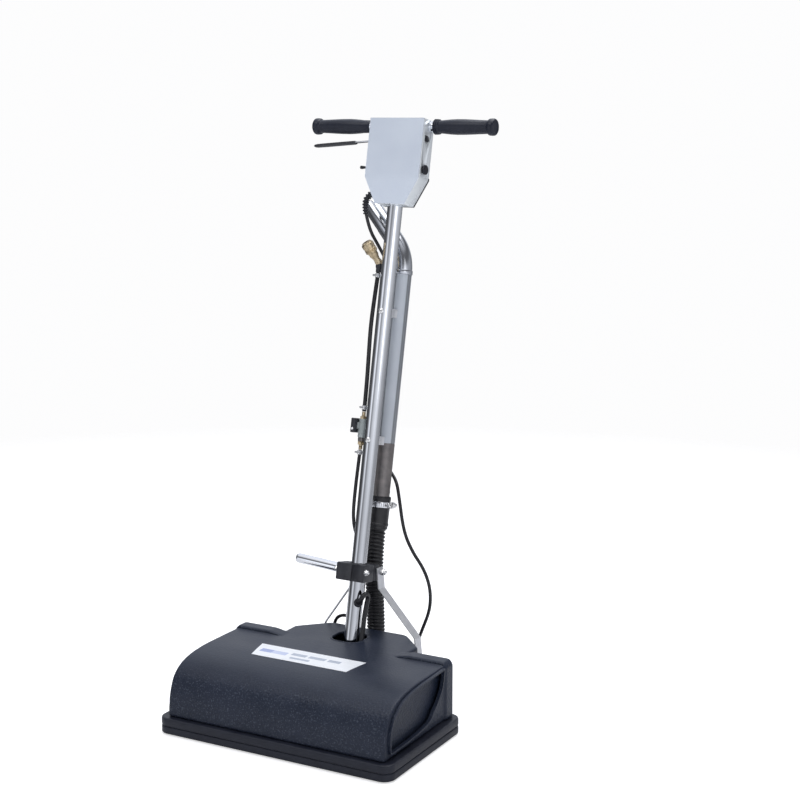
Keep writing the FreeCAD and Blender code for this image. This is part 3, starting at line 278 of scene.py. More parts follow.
# ---------------------------------------------------------------- pieces
class Piece:
    """One visible piece: shapes in millimetres of its own space, placed by a matrix."""

    def __init__(self, name, place=ROW):
        self.name = name
        self.place = place
        self.bm = bmesh.new()
        self.finishes = []

    def add(self, points, faces, material, bevel=0.0, segments=2):
        if material not in self.finishes:
            self.finishes.append(material)
        part = bmesh.new()
        made = [part.verts.new(point) for point in points]
        for face in faces:
            part.faces.new([made[i] for i in face])
        bmesh.ops.recalc_face_normals(part, faces=part.faces[:])
        if bevel:
            sharp = [edge for edge in part.edges if edge.calc_face_angle(0) > CREASE]
            bmesh.ops.bevel(part, geom=sharp, offset=bevel, segments=segments, affect="EDGES", profile=0.5,
                            clamp_overlap=True)
        for face in part.faces:
            face.material_index = self.finishes.index(material)
            face.smooth = True
        mesh = bpy.data.meshes.new("part")
        part.to_mesh(mesh)
        part.free()
        self.bm.from_mesh(mesh)
        bpy.data.meshes.remove(mesh)
        return self

    def loft(self, loops, material, closed=False, bevel=0.0, segments=2):
        """Skin through loops of as many points each; closed joins the last loop to the first."""
        count = len(loops[0])
        faces = []
        for i in range(len(loops) if closed else len(loops) - 1):
            a, b = i * count, (i + 1) % len(loops) * count
            faces += [(a + j, a + (j + 1) % count, b + (j + 1) % count, b + j) for j in range(count)]
        if not closed:
            faces += [tuple(range(count))[::-1], tuple(range((len(loops) - 1) * count, len(loops) * count))]
        return self.add([point for loop in loops for point in loop], faces, material, bevel, segments)

    def lathe(self, profile, origin, direction, material, sides=48, closed=False):
        """Turned shape: (along, radius) pairs about a direction."""
        turn = Vector(direction).to_track_quat("Z", "Y")
        circle = [(math.cos(2 * math.pi * i / sides), math.sin(2 * math.pi * i / sides))
                  for i in range(sides)]
        loops = []
        for along, radius in profile:
            girth = max(radius, THINNEST)
            loops.append([turn @ Vector((girth * x, girth * y, along)) + Vector(origin) for x, y in circle])
        return self.loft(loops, material, closed)

    def pipe(self, points, radius, material, sides=24, hollow=0.0):
        """Round bar along points; radius is a number or one for each point."""
        path = [Vector(point) for point in points]
        radii = radius if isinstance(radius, list) else [radius] * len(path)
        turns = [2 * math.pi * j / sides for j in range(sides)]
        across = None
        loops = []
        for i, point in enumerate(path):
            along = (path[min(i + 1, len(path) - 1)] - path[max(i - 1, 0)]).normalized()
            if across is None:
                across = along.orthogonal().normalized()
            across = (across - along * across.dot(along)).normalized()
            other = along.cross(across)
            loops.append([point + (across * math.cos(turn) + other * math.sin(turn)) * radii[i]
                          for turn in turns])
        if hollow:
            inner = [[point + (corner - point) * (1 - hollow / radii[i]) for corner in loops[i]]
                     for i, point in enumerate(path)]
            return self.loft(loops + inner[::-1], material, closed=True)
        return self.loft(loops, material)

    def prism(self, outline, plane, low, high, material, bevel=0.0, segments=2):
        """Outline pushed from low to high along the axis that the plane leaves out."""
        lift = {"XY": lambda a, b, t: (a, b, t), "XZ": lambda a, b, t: (a, t, b),
                "YZ": lambda a, b, t: (t, a, b)}[plane]
        return self.loft([[lift(a, b, t) for a, b in outline] for t in (low, high)], material, False, bevel,
                         segments)

    def box(self, low, high, material, bevel=0.0, segments=2):
        outline = [(low[0], low[1]), (high[0], low[1]), (high[0], high[1]), (low[0], high[1])]
        return self.prism(outline, "XY", low[2], high[2], material, bevel, segments)

    def hexagon(self, centre, direction, across, thick, material, dome=0.0):
        """Hexagon nut or head with chamfered corners, and a dome when it is an acorn nut."""
        turn = Vector(direction).to_track_quat("Z", "Y")
        outline = [Vector((across / math.sqrt(3) * math.cos(math.pi / 3 * i),
                           across / math.sqrt(3) * math.sin(math.pi / 3 * i), 0)) for i in range(6)]
        loops = [[turn @ (corner * share + Vector((0, 0, t))) + Vector(centre) for corner in outline]
                 for t, share in ((0, 0.94), (thick * 0.12, 1), (thick * 0.88, 1), (thick, 0.94))]
        self.loft(loops, material)
        if dome:
            profile = [(thick - 0.2, across * 0.42)]
            profile += [(thick + dome * math.sin(step), across * 0.42 * math.cos(step))
                        for step in (0.4, 0.8, 1.2, 1.5)]
            self.lathe(profile, centre, direction, material, 24)
        return self

    def clip(self, centre, direction, radius, width, screw, material):
        """Small worm clamp: band, housing and slotted screw on the side named by screw."""
        axis = Vector(direction).normalized()
        out = Vector(screw).normalized()
        side = axis.cross(out)
        self.lathe([(0, radius), (0, radius + 0.9), (width, radius + 0.9), (width, radius)], centre,
                   direction, material, 40, closed=True)
        middle = Vector(centre) + axis * width / 2 + out * (radius + 2.6)
        self.pipe([middle - side * 5.5, middle + side * 5.5], width * 0.32, material, 16)
        self.lathe([(0, width * 0.4), (2.4, width * 0.44), (3, width * 0.34)], middle + side * 5.5, side,
                   material, 16)
        return self

    def built(self, angle=0.6):
        mesh = bpy.data.meshes.new(self.name)
        self.bm.transform(self.place)
        self.bm.to_mesh(mesh)
        self.bm.free()
        for material in self.finishes:
            mesh.materials.append(material)
        mesh.set_sharp_from_angle(angle=angle)
        item = bpy.data.objects.new(self.name, mesh)
        bpy.context.scene.collection.objects.link(item)
        return item

    def done(self, body, slot, *replaced, angle=0.6):
        """Finish the mesh, ride it on a body and let it stand for CAD nodes."""
        return settle(self.built(angle), body, slot, *replaced)


def settle(item, body, slot, *replaced):
    if body:
        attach(item, body)
    if replaced:
        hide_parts(*replaced)
    return item


def applied(item):
    """Make an object's modifiers part of its mesh."""
    evaluated = item.evaluated_get(bpy.context.evaluated_depsgraph_get())
    mesh = bpy.data.meshes.new_from_object(evaluated)
    item.modifiers.clear()
    item.data = mesh
    return item


def carved(item, *cutters):
    """Take closed cutters out of an object, and delete them."""
    for cutter in cutters:
        step = item.modifiers.new("carve", "BOOLEAN")
        step.operation = "DIFFERENCE"
        step.object = cutter
        applied(item)
        bpy.data.objects.remove(cutter)
    return item


def cutter(shape, *measures, place=HANDLE):
    """Closed cutter made with one of a piece's shapes."""
    return getattr(Piece("cutter", place), shape)(*measures, SHELL).built()


def joined(item, *others):
    """Gather the meshes of others into an object, and delete them."""
    whole = bmesh.new()
    for source in (item, *others):
        whole.from_mesh(source.data)
    whole.to_mesh(item.data)
    whole.free()
    for source in others:
        bpy.data.objects.remove(source)
    return item


def arc(centre, radius, start, end, count):
    """Points of a circular arc, angles in degrees."""
    turns = [math.radians(start + (end - start) * i / count) for i in range(count + 1)]
    return [(centre[0] + radius * math.cos(t), centre[1] + radius * math.sin(t)) for t in turns]


def rounded_rectangle(half_x, half_y, radius, steps=8, middle=(0, 0)):
    outline = []
    for x, y, start in ((1, 1, 0), (-1, 1, 90), (-1, -1, 180), (1, -1, 270)):
        outline += arc((middle[0] + x * (half_x - radius), middle[1] + y * (half_y - radius)), radius,
                       start, start + 90, steps)
    return outline


def through(points, steps=5):
    """Smooth curve through 2-D points."""
    line = [points[0], *points, points[-1]]
    curve = []
    for i in range(1, len(line) - 2):
        p0, p1, p2, p3 = [Vector(p) for p in line[i - 1:i + 3]]
        for step in range(steps):
            t = step / steps
            curve.append(0.5 * (2 * p1 + (p2 - p0) * t + (2 * p0 - 5 * p1 + 4 * p2 - p3) * t ** 2
                                + (3 * p1 - p0 - 3 * p2 + p3) * t ** 3))
    return [tuple(p) for p in curve] + [points[-1]]


# ---------------------------------------------------------------- cords and hoses
def route_points(points):
    """Points along the smooth NURBS line whose control points are the route's."""
    curve = bpy.data.curves.new("route", "CURVE")
    curve.dimensions = "3D"
    curve.resolution_u = 24
    spline = curve.splines.new("NURBS")
    spline.points.add(len(points) - 1)
    for control, point in zip(spline.points, points):
        control.co = (*point, 1)
    spline.order_u = 3
    spline.use_endpoint_u = True
    item = bpy.data.objects.new("route", curve)
    bpy.context.scene.collection.objects.link(item)
    mesh = bpy.data.meshes.new_from_object(item)
    line = [vertex.co.copy() for vertex in mesh.vertices]
    bpy.data.objects.remove(item)
    return line


def line_length(line):
    return sum((b - a).length for a, b in zip(line, line[1:]))


def evenly(line, pitch):
    """The same line read at even steps."""
    total = line_length(line)
    count = round(total / pitch)
    spots = []
    walked = 0.0
    index = 0
    for i in range(count + 1):
        target = min(total * i / count, total - 1e-9)
        while walked + (line[index + 1] - line[index]).length < target:
            walked += (line[index + 1] - line[index]).length
            index += 1
        leg = line[index + 1] - line[index]
        spots.append(line[index] + leg * ((target - walked) / leg.length))
    return spots


RELIEF_ROUTE = [(-44.5, -4, 969.6), (-65, -5, 959), (-66, -10, 937), (-61.5, -9, 921)]
DUCT_HOSE = [(0, 0.262, 0.112), (0, 0.262, 0.166), (0, 0.2555, 0.233), (0, 0.2553, 0.299),
             handle_point(0, PIPE_REAR, 272.1)]
UPPER_HOSE = on_handle([(-25, 2, 801), (-25, -3, 750), (-25, -7, 690), (-25, -3, 630), (-25.5, 2, 570),
                        (-26, 3.5, 513)])
LOWER_HOSE = on_handle([(-26, 3, 434), (-26, 1, 400), (-25, -3, 345), (-24, -3, 295), (-25, 17, 259),
                        (-19, 44, 230), (-12, 49, 185)])
LOWER_HOSE += metres([(-14, 233, 228), (-22, 237, 190), (-42, 241, 161), (-74, 244, 163), (-95, 247, 144),
                      (-95, 247, 117)])
MOTOR_CABLE = on_handle([(15.15, -12.71, 124.02), (22.93, -19.24, 129.42), (27.6, -13.5, 144),
                         (28.6, 1.5, 140), (25, 3, 117), (24, 1, 92), (23.5, 2, 62), (22.5, -1, 30)])
CORD = on_handle([RELIEF_ROUTE[-1], (-55, -2, 890), (-42, 24, 858), (-30, 50, 824), (-25.5, 62, 775),
                  (-27, 62, 700), (-28, 62, 620), (-27.5, 62, 540), (-26, 64, 462), (-20, 82, 418),
                  (2, 90, 394), (24, 82, 374), (38, 74, 342)])
CORD += metres([(55, 282, 352), (76, 280, 312), (107, 276, 278), (124, 272, 240), (124, 271, 196),
                (104, 275, 150), (84, 284, 106), (66, 298, 62), (44, 318, 22), (14, 336, 3.6),
                (-32, 344, 3.6), (-78, 338, 3.6), (-120, 318, 3.6)])


def flexible(name, route, radius, material, replaced, pitch, sides,
             blended, rib=None):
    """Cord or hose as a mesh tube along its route."""
    line = evenly(route_points(route), pitch)
    radii = [radius] * len(line)
    if rib:
        rib_pitch, depth = rib
        radii = [radius - depth * (0.5 - 0.5 * math.cos(2 * math.pi * i * pitch / rib_pitch)) ** 1.5
                 for i in range(len(line))]
    item = Piece(name, Matrix()).pipe(line, radii, material, sides).built(1.2)
    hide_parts(replaced)
    if blended:
        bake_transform(item)
    else:
        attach(item, "handle")


def plug_piece():
    """Moulded mains plug with two blades and an earth pin, lying at the cord's end."""
    end = Vector(CORD[-1])
    along = (end - Vector(CORD[-2])).normalized()
    side = Vector((0, 0, 1)).cross(along)
    place = Matrix.Translation(end) @ Matrix((along, side, (0, 0, 1))).transposed().to_4x4() @ ROW
    plug = Piece("plug", place)
    neck = [(0, 4.2), (2, 4.6), (3, 3.9), (5, 4.9), (6, 4.2), (8, 5.4), (9, 4.6), (11, 5.8), (12, 5.0),
            (16, 6.5)]
    plug.lathe(neck, (0, 0, 0), (1, 0, 0), BLACK, 24)
    profile = [(15, 0.62), (18, 0.82), (24, 0.93), (37, 1), (41, 1)]
    loops = [[(x, y * share, 6.6 + (z - 6.6) * share) for y, z in
              rounded_rectangle(13.5, 10, 4, 5, (0, 6.6))] for x, share in profile]
    plug.loft(loops, BLACK)
    for y in (-6.4, 6.4):
        plug.box((40, y - 0.8, 3.4), (59, y + 0.8, 9.8), BRASS, 0.5)
    plug.lathe([(0, 2.4), (18.5, 2.4), (20.4, 1.4), (21, 0)], (40, 0, 12), (1, 0, 0), BRASS, 20)
    return plug.done("head", "black_plastic", "mains_plug")


def relief_piece():
    """Ribbed strain relief where the power cord leaves the box."""
    relief = Piece("cord_relief", HANDLE)
    flange = Vector((-49.2, -4, 967.2))
    slant = math.atan2(63 - 34.5, BOX_FOLD - BOX_FOOT)
    relief.lathe([(0, 9.5), (2.2, 9.5), (3, 8.6)], flange, (-math.cos(slant), 0, -math.sin(slant)), BLACK,
                 32)
    line = evenly(route_points(RELIEF_ROUTE), 1.0)
    relief.pipe(line, [8.2 - 2.2 * i / len(line) - (2.3 if i % 6 in (0, 1, 2) else 0)
                       for i in range(len(line))], BLACK, 24)
    return relief.done("handle", "black_plastic", "strain_relief")


plug = plug_piece()
relief = relief_piece()
flexible("power_lead", CORD, 0.0035, CORD_SKIN, "power_cord", 0.004, 16,
         ((0.08, 0.28, 0.12), (0.05, 0.28, 0.42)))
flexible("ribbed_hose", DUCT_HOSE, 0.019, HOSE, "vacuum_hose", 0.00078, 48,
         ((0, 0.262, 0.13), (0, 0.262, 0.26)), rib=(0.0078, 0.0028))
flexible("feed_hose_lower", LOWER_HOSE, 0.0036, HOSE, "lower_solution_hose", 0.003, 16,
         ((-0.05, 0.24, 0.15), (-0.02, 0.24, 0.26)))
flexible("feed_hose_upper", UPPER_HOSE, 0.0043, HOSE, "upper_solution_hose", 0.004, 20,
         None)
flexible("drive_cable", MOTOR_CABLE, 0.005, CORD_SKIN, "motor_cable", 0.002, 24,
         ((0.02, 0.16, 0.135), (0.02, 0.18, 0.235)))


# ---------------------------------------------------------------- head
FRONT = [(-139, COVER_FOOT), (-137, 58), (-132, 85), (-119, 113), (-95, 131.5), (-60, 142), (-14, 146.5),
         (30, CREST)]
REAR_PROFILE = [(116, CREST), (123, 146.4), (128, 143), (131, 135), (135, 85), (139, COVER_FOOT)]
RIM = [(249, COVER_FOOT), (249, 144), (241, 153), (163, 153), (130, CREST), (130, COVER_FOOT)]


def cover_profile(inset):
    """Section of the cover from front to rear, drawn in by the inset."""
    front = [(y + inset if y < -80 else y, z - (inset if z > 60 else 0)) for y, z in through(FRONT)]
    return front + [(y - (inset if y > 118 else 0), z - (inset if z > 60 else 0)) for y, z in REAR_PROFILE]


def hump_plan(inset):
    """Plan of the cover's rear extension, drawn in by the inset."""
    half, rear = 147 - inset, 234 - inset
    corner = through([(half, 175 - inset / 2), (122 - inset, 201 - inset), (94 - inset, rear - 5)], 6)
    return [(-half, 100), (half, 100), *corner, (84 - inset, rear), (-84 + inset, rear),
            *[(-x, y) for x, y in corner[::-1]]]


def swollen(outline, by):
    """Closed outline moved sideways by a distance."""
    moved = []
    for before, point, after in zip(outline[-1:] + outline[:-1], outline, outline[1:] + outline[:1]):
        along = (Vector(after) - Vector(before)).normalized()
        moved.append((point[0] + along.y * by, point[1] - along.x * by))
    return moved


def groove(outline, half, low, high):
    """Ring that cuts a groove along a closed outline in the YZ plane."""
    loops = [[(x, y, z) for y, z in swollen(outline, by)]
             for by, x in ((half, low), (half, high), (-half, high), (-half, low))]
    return Piece("groove").loft(loops, SHELL, closed=True).built()


def cover_piece():
    body = Piece("cover").prism(cover_profile(0), "YZ", -COVER_HALF, COVER_HALF, SHELL, 7, 4).built()
    hump = Piece("hump").prism(hump_plan(0), "XY", 48, CREST, SHELL, 9, 4).built()
    leaf = through([(-121, 49), (-121, 80), (-109, 106), (-87, 124), (-58, 134.5), (-14, 140), (36, 141.5),
                    (94, 143)], 4)
    leaf += through([(94, 139), (87, 110), (70, 87), (50, 71), (27, 55), (-46, 47), (-118, 46)], 4)
    rims = []
    for side in (-1, 1):
        outline = [(side * x, z) for x, z in RIM]
        rims.append(Piece("rim").prism(outline, "XZ", 101, 133, SHELL, 3.5, 3).built())
    carved(body, *[cutter("prism", leaf, "YZ", *sides, place=ROW)
                   for sides in ((-250, -241.8), (241.8, 250))])
    joined(body, hump, *rims)
    skin = body.modifiers.new("skin", "REMESH")
    skin.mode = "VOXEL"
    skin.voxel_size = VOXEL
    soften = body.modifiers.new("soften", "SMOOTH")
    soften.iterations = SOFTENING
    soften.factor = 0.5
    applied(body)
    mouth = rounded_rectangle(36, 33.5, 26, 10, (-6, 163.5))
    room = [(y, 20 if z == COVER_FOOT else z) for y, z in cover_profile(4)]
    carved(body, cutter("prism", room, "YZ", -236, 236, place=ROW),
           cutter("prism", hump_plan(4), "XY", 30, 143, place=ROW),
           cutter("prism", mouth, "XY", 120, 160, place=ROW),
           groove(leaf, 1.7, -250, -238), groove(leaf, 1.7, 238, 250),
           *[cutter("box", (left, 99.4, 144.6), (left + 103, 101.2, 152), place=ROW) for left in (-243, 140)])
    lip = [(x, y, 145.2) for x, y in [*mouth, mouth[0]]]
    joined(body, Piece("lip").pipe(lip, 2.9, SHELL, 14).built())
    body.data.materials.clear()
    body.data.materials.append(SHELL)
    for polygon in body.data.polygons:
        polygon.use_smooth = True
        polygon.material_index = 0
    body.data.set_sharp_from_angle(angle=0.9)
    settle(body, "head", "shell_plastic", "head_cover")


def bumper_piece():
    section = [(27, 3), (2.2, 2), (0.6, 2.8), (0, 4.5), (0, 14.4), (0.7, 16), (2.4, 17.2), (2.4, 17.8),
               (0.7, 19), (0, 20.6), (0, 31), (0.8, 33), (2.4, 34), (5, 34.2), (7, 34), (27, 34)]
    loops = [[(x, y, z) for x, y in rounded_rectangle(263 - d, 149 - d, max(24 - d, 5), 10, (0, -3))]
             for d, z in section]
    item = Piece("bumper_bands").loft(loops, BUMPER, closed=True).built(0.5)
    carved(item, cutter("box", (-62, 110, -5), (62, 160, 31.5), place=ROW))
    settle(item, "head", "bumper_rubber", "bumper")


def label_piece():
    """Printed label laid on the cover: a blue field that pales to the right, and plain bars."""
    surface = through(FRONT) + REAR_PROFILE

    def height(y):
        """Height of the cover's skin at a place along it."""
        for (y0, z0), (y1, z1) in zip(surface, surface[1:]):
            if y0 <= y <= y1:
                return z0 + (z1 - z0) * (y - y0) / (y1 - y0)

    def patch(low, high, lift, material, thick=0.4, slant=0.0):
        """Thin sheet laid on the cover between two corners of its plan."""
        columns, rows = 14, 8
        loops = []
        for i in range(columns + 1):
            top = []
            for j in range(rows + 1):
                skew = slant * j / rows
                x = low[0] - skew + (high[0] - low[0] + 1.6 * skew) * i / columns
                y = low[1] + (high[1] - low[1]) * j / rows
                top.append((x, y, height(y) + lift))
            loops.append(top + [(x, y, z - thick) for x, y, z in top[::-1]])
        label.loft(loops, material)

    label = Piece("label")
    patch((-125, -20), (94, 42), 0.55, LABEL_WHITE, slant=15)
    patch((-122, 2), (-94, 18), 0.62, LABEL_BLUE, 0.2)
    patch((-94, 2), (-60, 18), 0.62, LABEL_SKY, 0.2)
    for x0, x1, y0, y1 in ((-52, -18, 10, 22), (-12, 26, 10, 22), (32, 60, 10, 22), (-45, 0, -8, 0)):
        patch((x0, y0), (x1, y1), 0.62, LABEL_GREY, 0.2)
    label.done("head", "shell_plastic")


def wheel_piece(tag, side):
    wheel = Piece(f"{tag}_road_wheel")
    profile = [(-13, 26), (-13, 33.5), (-11.8, 35.2), (-9, 36)]
    for x in (-6, 0, 6):
        profile += [(x - 1.4, 36), (x - 0.7, 34.8), (x + 0.7, 34.8), (x + 1.4, 36)]
    profile += [(9, 36), (11.8, 35.2), (13, 33.5), (13, 26), (12, 25)]
    middle = Vector((side * 168, 200, 36))
    wheel.lathe([*profile, (11, 24), (-12, 25)], middle, ACROSS, TYRE, 64, closed=True)
    wheel.lathe([(-12, 6.05), (-13.5, 6.05), (-13.5, 12), (-12, 13), (-10.5, 14), (-10.5, 24), (-12, 25.6),
                 (12, 25.6), (8, 24), (8, 14), (12, 13), (13.5, 12), (13.5, 6.05)], middle, ACROSS, BLACK,
                64, closed=True)
    for i in range(6):
        turn = math.pi / 3 * i
        radial = Vector((0, math.cos(turn), math.sin(turn)))
        for face in (-11.6, 10):
            hub = middle + Vector((face, 0, 0))
            wheel.pipe([hub + radial * 12, hub + radial * 24.5], 1.5, BLACK, 12)
    wheel.done(f"{tag}_wheel_body", "tyre_grey", f"{tag}_wheel")


def bristles_piece():
    brush = Piece("brush_tufts")
    brush.lathe([(-201, 22.05), (-201, 23.4), (201, 23.4), (201, 22.05)], (0, -62, 42.5), ACROSS, BLACK, 48,
                closed=True)
    rows, count = 10, 46
    for row in range(rows):
        for i in range(count):
            x = -197 + 394 * i / (count - 1)
            turn = 2 * math.pi * row / rows + i * 0.11
            radial = Vector((0, math.cos(turn), math.sin(turn)))
            root = Vector((x, -62, 42.5)) + radial * 23
            brush.pipe([root, root + radial * 11, root + radial * 18.8], [1.7, 2.2, 2.6], BRISTLE, 7)
    brush.done("brush", "bristle", "brush_bristles")


def inlet_piece():
    inlet = Piece("inlet_elbow")
    inlet.hexagon((-92, 234, 98), (0, 1, 0), 13.4, 4.5, BRASS)
    inlet.pipe([(-92, 238, 98), (-93, 243, 98), (-94.4, 246.4, 99), (-95, 247, 102), (-95, 247, 105)], 4.8,
               BRASS, 24)
    barbs = [(0, 4.4), (1.4, 4.4), (2, 3.2)]
    for i in range(3):
        barbs += [(2 + 3 * i, 3.5), (4.6 + 3 * i, 2.9)]
    inlet.lathe(barbs, (-95, 247, 104.6), ALONG, BRASS, 24)
    inlet.done("head", "brass", "solution_inlet")


cover_piece()
bumper_piece()
label_piece()
wheel_piece("left", -1)
wheel_piece("right", 1)
bristles_piece()
inlet_piece()


# ---------------------------------------------------------------- handle tubes
def tube_piece():
    tube = Piece("upright_tube", HANDLE)
    tube.lathe([(-19.5, 14.2), (-20, 14.6), (-20, 15.4), (-19.4, 15.875), (1092, 15.875), (1092, 14.2)],
               *TUBE, TUBE_CHROME, 96, closed=True)
    tube.done("handle", "chrome", "main_tube")


def grip_piece(tag, side):
    rings = [(75, 11.1), (75, 15.2), (75.8, 15.9), (77.2, 15.9), (78, 14.4), (79, 14.4), (79.8, 15.8),
             (81.2, 15.8), (82, 14.2), (83, 14.2), (83.8, 15.4), (85, 15.4), (87, 13.1)]
    plain = [(75, 11.1), (75, 12.8), (75.6, 13.1)]
    profile = [*(rings if side > 0 else plain), (92, 13.4), (100, 14.2), (112, 15.2), (126, 15.8),
               (144, 15.6), (160, 15.0), (178, 14.2), (193, 13.6), (195.5, 14.0), (197.4, 16.2),
               (199, 16.9), (203, 17.2), (207, 17.2), (209.4, 16.5), (210.8, 15), (210.8, 13.4),
               (209.6, 12), (209, 8), (209, 0), (205.2, 0), (205.2, 11.1)]
    grip = Piece(f"{tag}_hand_grip", HANDLE)
    grip.lathe(profile, (0, 0, BAR_UP), (side, 0, 0), GRIP, 64, closed=True)
    grip.done("handle", "grip_rubber", f"{tag}_grip")


def box_outline(inset=0.0):
    half = 63 - inset
    foot = 34.5 - inset * 0.6
    return [(-half, BOX_FOLD), (-half, 1117.5 - inset), (half, 1117.5 - inset), (half, BOX_FOLD),
            (foot, BOX_FOOT + inset), (-foot, BOX_FOOT + inset)]


def box_pieces():
    shell = Piece("switch_box", HANDLE).prism(box_outline(), "XZ", -26.6, 18.2, BOX, 2.2, 3).built(0.5)
    carved(shell, cutter("prism", box_outline(2), "XZ", -24, 16.2),
           cutter("lathe", [(0, 11.15), (160, 11.15)], (-80, 0, BAR_UP), ACROSS),
           cutter("lathe", [(0, 15.93), (20, 15.93)], (0, 0, 930), ALONG),
           cutter("box", (-70, -7, 1071), (-55, 7, 1079)),
           cutter("box", (55, -17.7, 1071.4), (70, -0.5, 1084)),
           cutter("lathe", [(0, 7.2), (20, 7.2)], (55, -12, 1013.5), ACROSS),
           cutter("lathe", [(0, 5.2), (15, 5.2)], (-70, -6, 1017.5), ACROSS))
    settle(shell, "handle", "aluminium", "box_shell")
    # black strip along the back edges of the box's lower part: painted shade standing for the dark gap at the
    # rear plate
    edge = [(63.3, 1000), (63.3, 995.3), (34.8, 940.2), (-34.8, 940.2), (-63.3, 995.3), (-63.3, 1000)]
    inner = [(62.6, 1000), (62.6, 995.6), (34.2, 941.0), (-34.2, 941.0), (-62.6, 995.6), (-62.6, 1000)]
    gap_shade = Piece("box_gap_shade", HANDLE).prism(edge + inner[::-1], "XZ", 14.4, 18.3, BLACK)
    gap_shade.done("handle", "black_plastic")
    plate = Piece("box_front", HANDLE)
    wide, top = 62.5, 1117.0
    for low, high, foot, back in ((BOX_FOLD, top, wide, 0.0), (941, BOX_FOLD, 34.2, 1.1)):
        plate.loft([[(-foot, front + back, low), (foot, front + back, low), (wide, front, high),
                     (-wide, front, high)] for front in (-28.3, -26.8)], ALUMINIUM)
    plate.done("handle", "aluminium", "box_front_plate", angle=0.3)


def bend_piece():
    slope = Vector((-92, 102)).normalized()
    tip = Vector((-92, 950))
    shoulder = tip - slope * 60
    line = [(0, 810), *arc((-96, 811.15), 96, 0, 42, 20), tuple(shoulder - slope * 0.6), tuple(shoulder),
            tuple(tip - slope), tuple(tip)]
    bend = Piece("suction_bend", HANDLE)
    radii = [19.5] * (len(line) - 3) + [19.0, 19.0, 18.6]
    bend.pipe([(x, PIPE_REAR, s) for x, s in line], radii, BEND_STEEL, 72, hollow=1.6)
    bend.lathe([(0, 19.4), (0, 20.3), (0.8, 20.8), (8, 20.8), (8.8, 20.3), (8.8, 19.4)],
               (0, PIPE_REAR, 806), ALONG, BEND_STEEL, 72, closed=True)
    bend.done("handle", "polished_steel", "vacuum_bend")


def vacuum_pieces():
    sight = Piece("sight_pipe", HANDLE)
    sight.lathe([(452, 16.95), (452, 19.2), (452.6, 19.5), (805.8, 19.5), (805.8, 16.95)], *PIPE, CLEAR, 72,
                closed=True)
    sight.done("handle", "clear", "sight_tube")
    lower = Piece("suction_tube", HANDLE)
    lower.lathe([(300, 15.4), (300, 19.5), (451.2, 19.5), (451.8, 19), (451.9, 16.85), (469, 16.85),
                 (470, 16.3), (470, 15.4)], *PIPE, DULL, 72, closed=True)
    lower.lathe([(349, 19.45), (349, 20.0), (352, 20.0), (352, 19.45)], *PIPE, DULL, 72, closed=True)
    lower.done("handle", "dull_steel", "vacuum_tube")
    cuff = Piece("rubber_cuff", HANDLE)
    cuff.lathe([(272.5, 16), (272.5, 20.6), (273.4, 21.4), (279, 21.6), (280, 22.8), (284, 23),
                (285.5, 21.9), (300, 22.1), (315, 22.4), (316, 22.8), (332, 22.8), (333, 23.2), (339, 23.2),
                (341, 22), (341, 19.55), (300, 19.55), (300, 16)], *PIPE, HOSE, 64, closed=True)
    cuff.done("handle", "hose_rubber", "hose_cuff")


def clamp_pieces():
    clips = Piece("worm_clips", HANDLE)
    clips.lathe([(0, 22.9), (0, 24.0), (1, 24.4), (11, 24.4), (12, 24.0), (12, 22.9)], (0, PIPE_REAR, 318),
                ALONG, POLISHED, 72, closed=True)
    for i in range(22):
        turn = math.radians(-150 + 11 * i)
        out = Vector((math.cos(turn), math.sin(turn), 0))
        across = Vector((-out.y, out.x, 0))
        spot = Vector((0, PIPE_REAR, 324)) + out * 24.45
        clips.add([spot + across * a + Vector((0, 0, s)) + out * 0.12 for a, s in
                   ((-0.5, -3.6), (0.5, -3.0), (0.5, 3.6), (-0.5, 3.0))], [(0, 1, 2, 3)], DULL)
    clips.box((23.2, 55, 317), (30.8, 71, 331), BRIGHT, 1.6, 3)
    clips.lathe([(0, 3.2), (21, 3.2), (21.5, 5.6), (28, 5.6), (29, 4.6), (29.2, 0)], (27.4, 50, 324),
                (0, 1, 0), BRIGHT, 24)
    clips.lathe([(0, 4.2), (4, 4.2), (5, 3.2)], (27.4, 52, 324), (0, -1, 0), BRIGHT, 24)
    for x, rear, up in ((-25, 1.5, 791), (-26, 3.3, 517), (-26, 2.6, 424)):
        clips.clip((x, rear, up), ALONG, 4.6, 8, (-0.35, -1, 0), BRIGHT)
    clips.done("handle", "zinc", "hose_clamps")
    brackets = Piece("tube_saddles", HANDLE)
    bolts = Piece("saddle_screws", HANDLE)
    for up in (456, 721.5):
        brackets.prism([(-9, 13.2), (9, 13.2), (9, 16), (4, 19), (4, 38), (7, 43), (7, 44), (-7, 44),
                        (-7, 43), (-4, 38), (-4, 19), (-9, 16)], "XY", up - 9, up + 9, ZINC, 0.8)
        bolts.lathe([(0, 5.9), (0.6, 5.9), (1.6, 5.2), (2.6, 3.6), (3.2, 1.6), (3.3, 0)], (0, -15.9, up),
                    (0, -1, 0), BRIGHT, 32)
        bolts.lathe([(0, 2.9), (48, 2.9)], (0, -16.5, up), (0, 1, 0), ZINC, 20)
    carved(settle(brackets.built(0.5), "handle", "zinc", "tube_brackets"),
           cutter("lathe", [(430, 15.9), (750, 15.9)], *TUBE),
           cutter("lathe", [(430, 19.52), (750, 19.52)], *PIPE))
    bolts.done("handle", "zinc", "bracket_bolts")


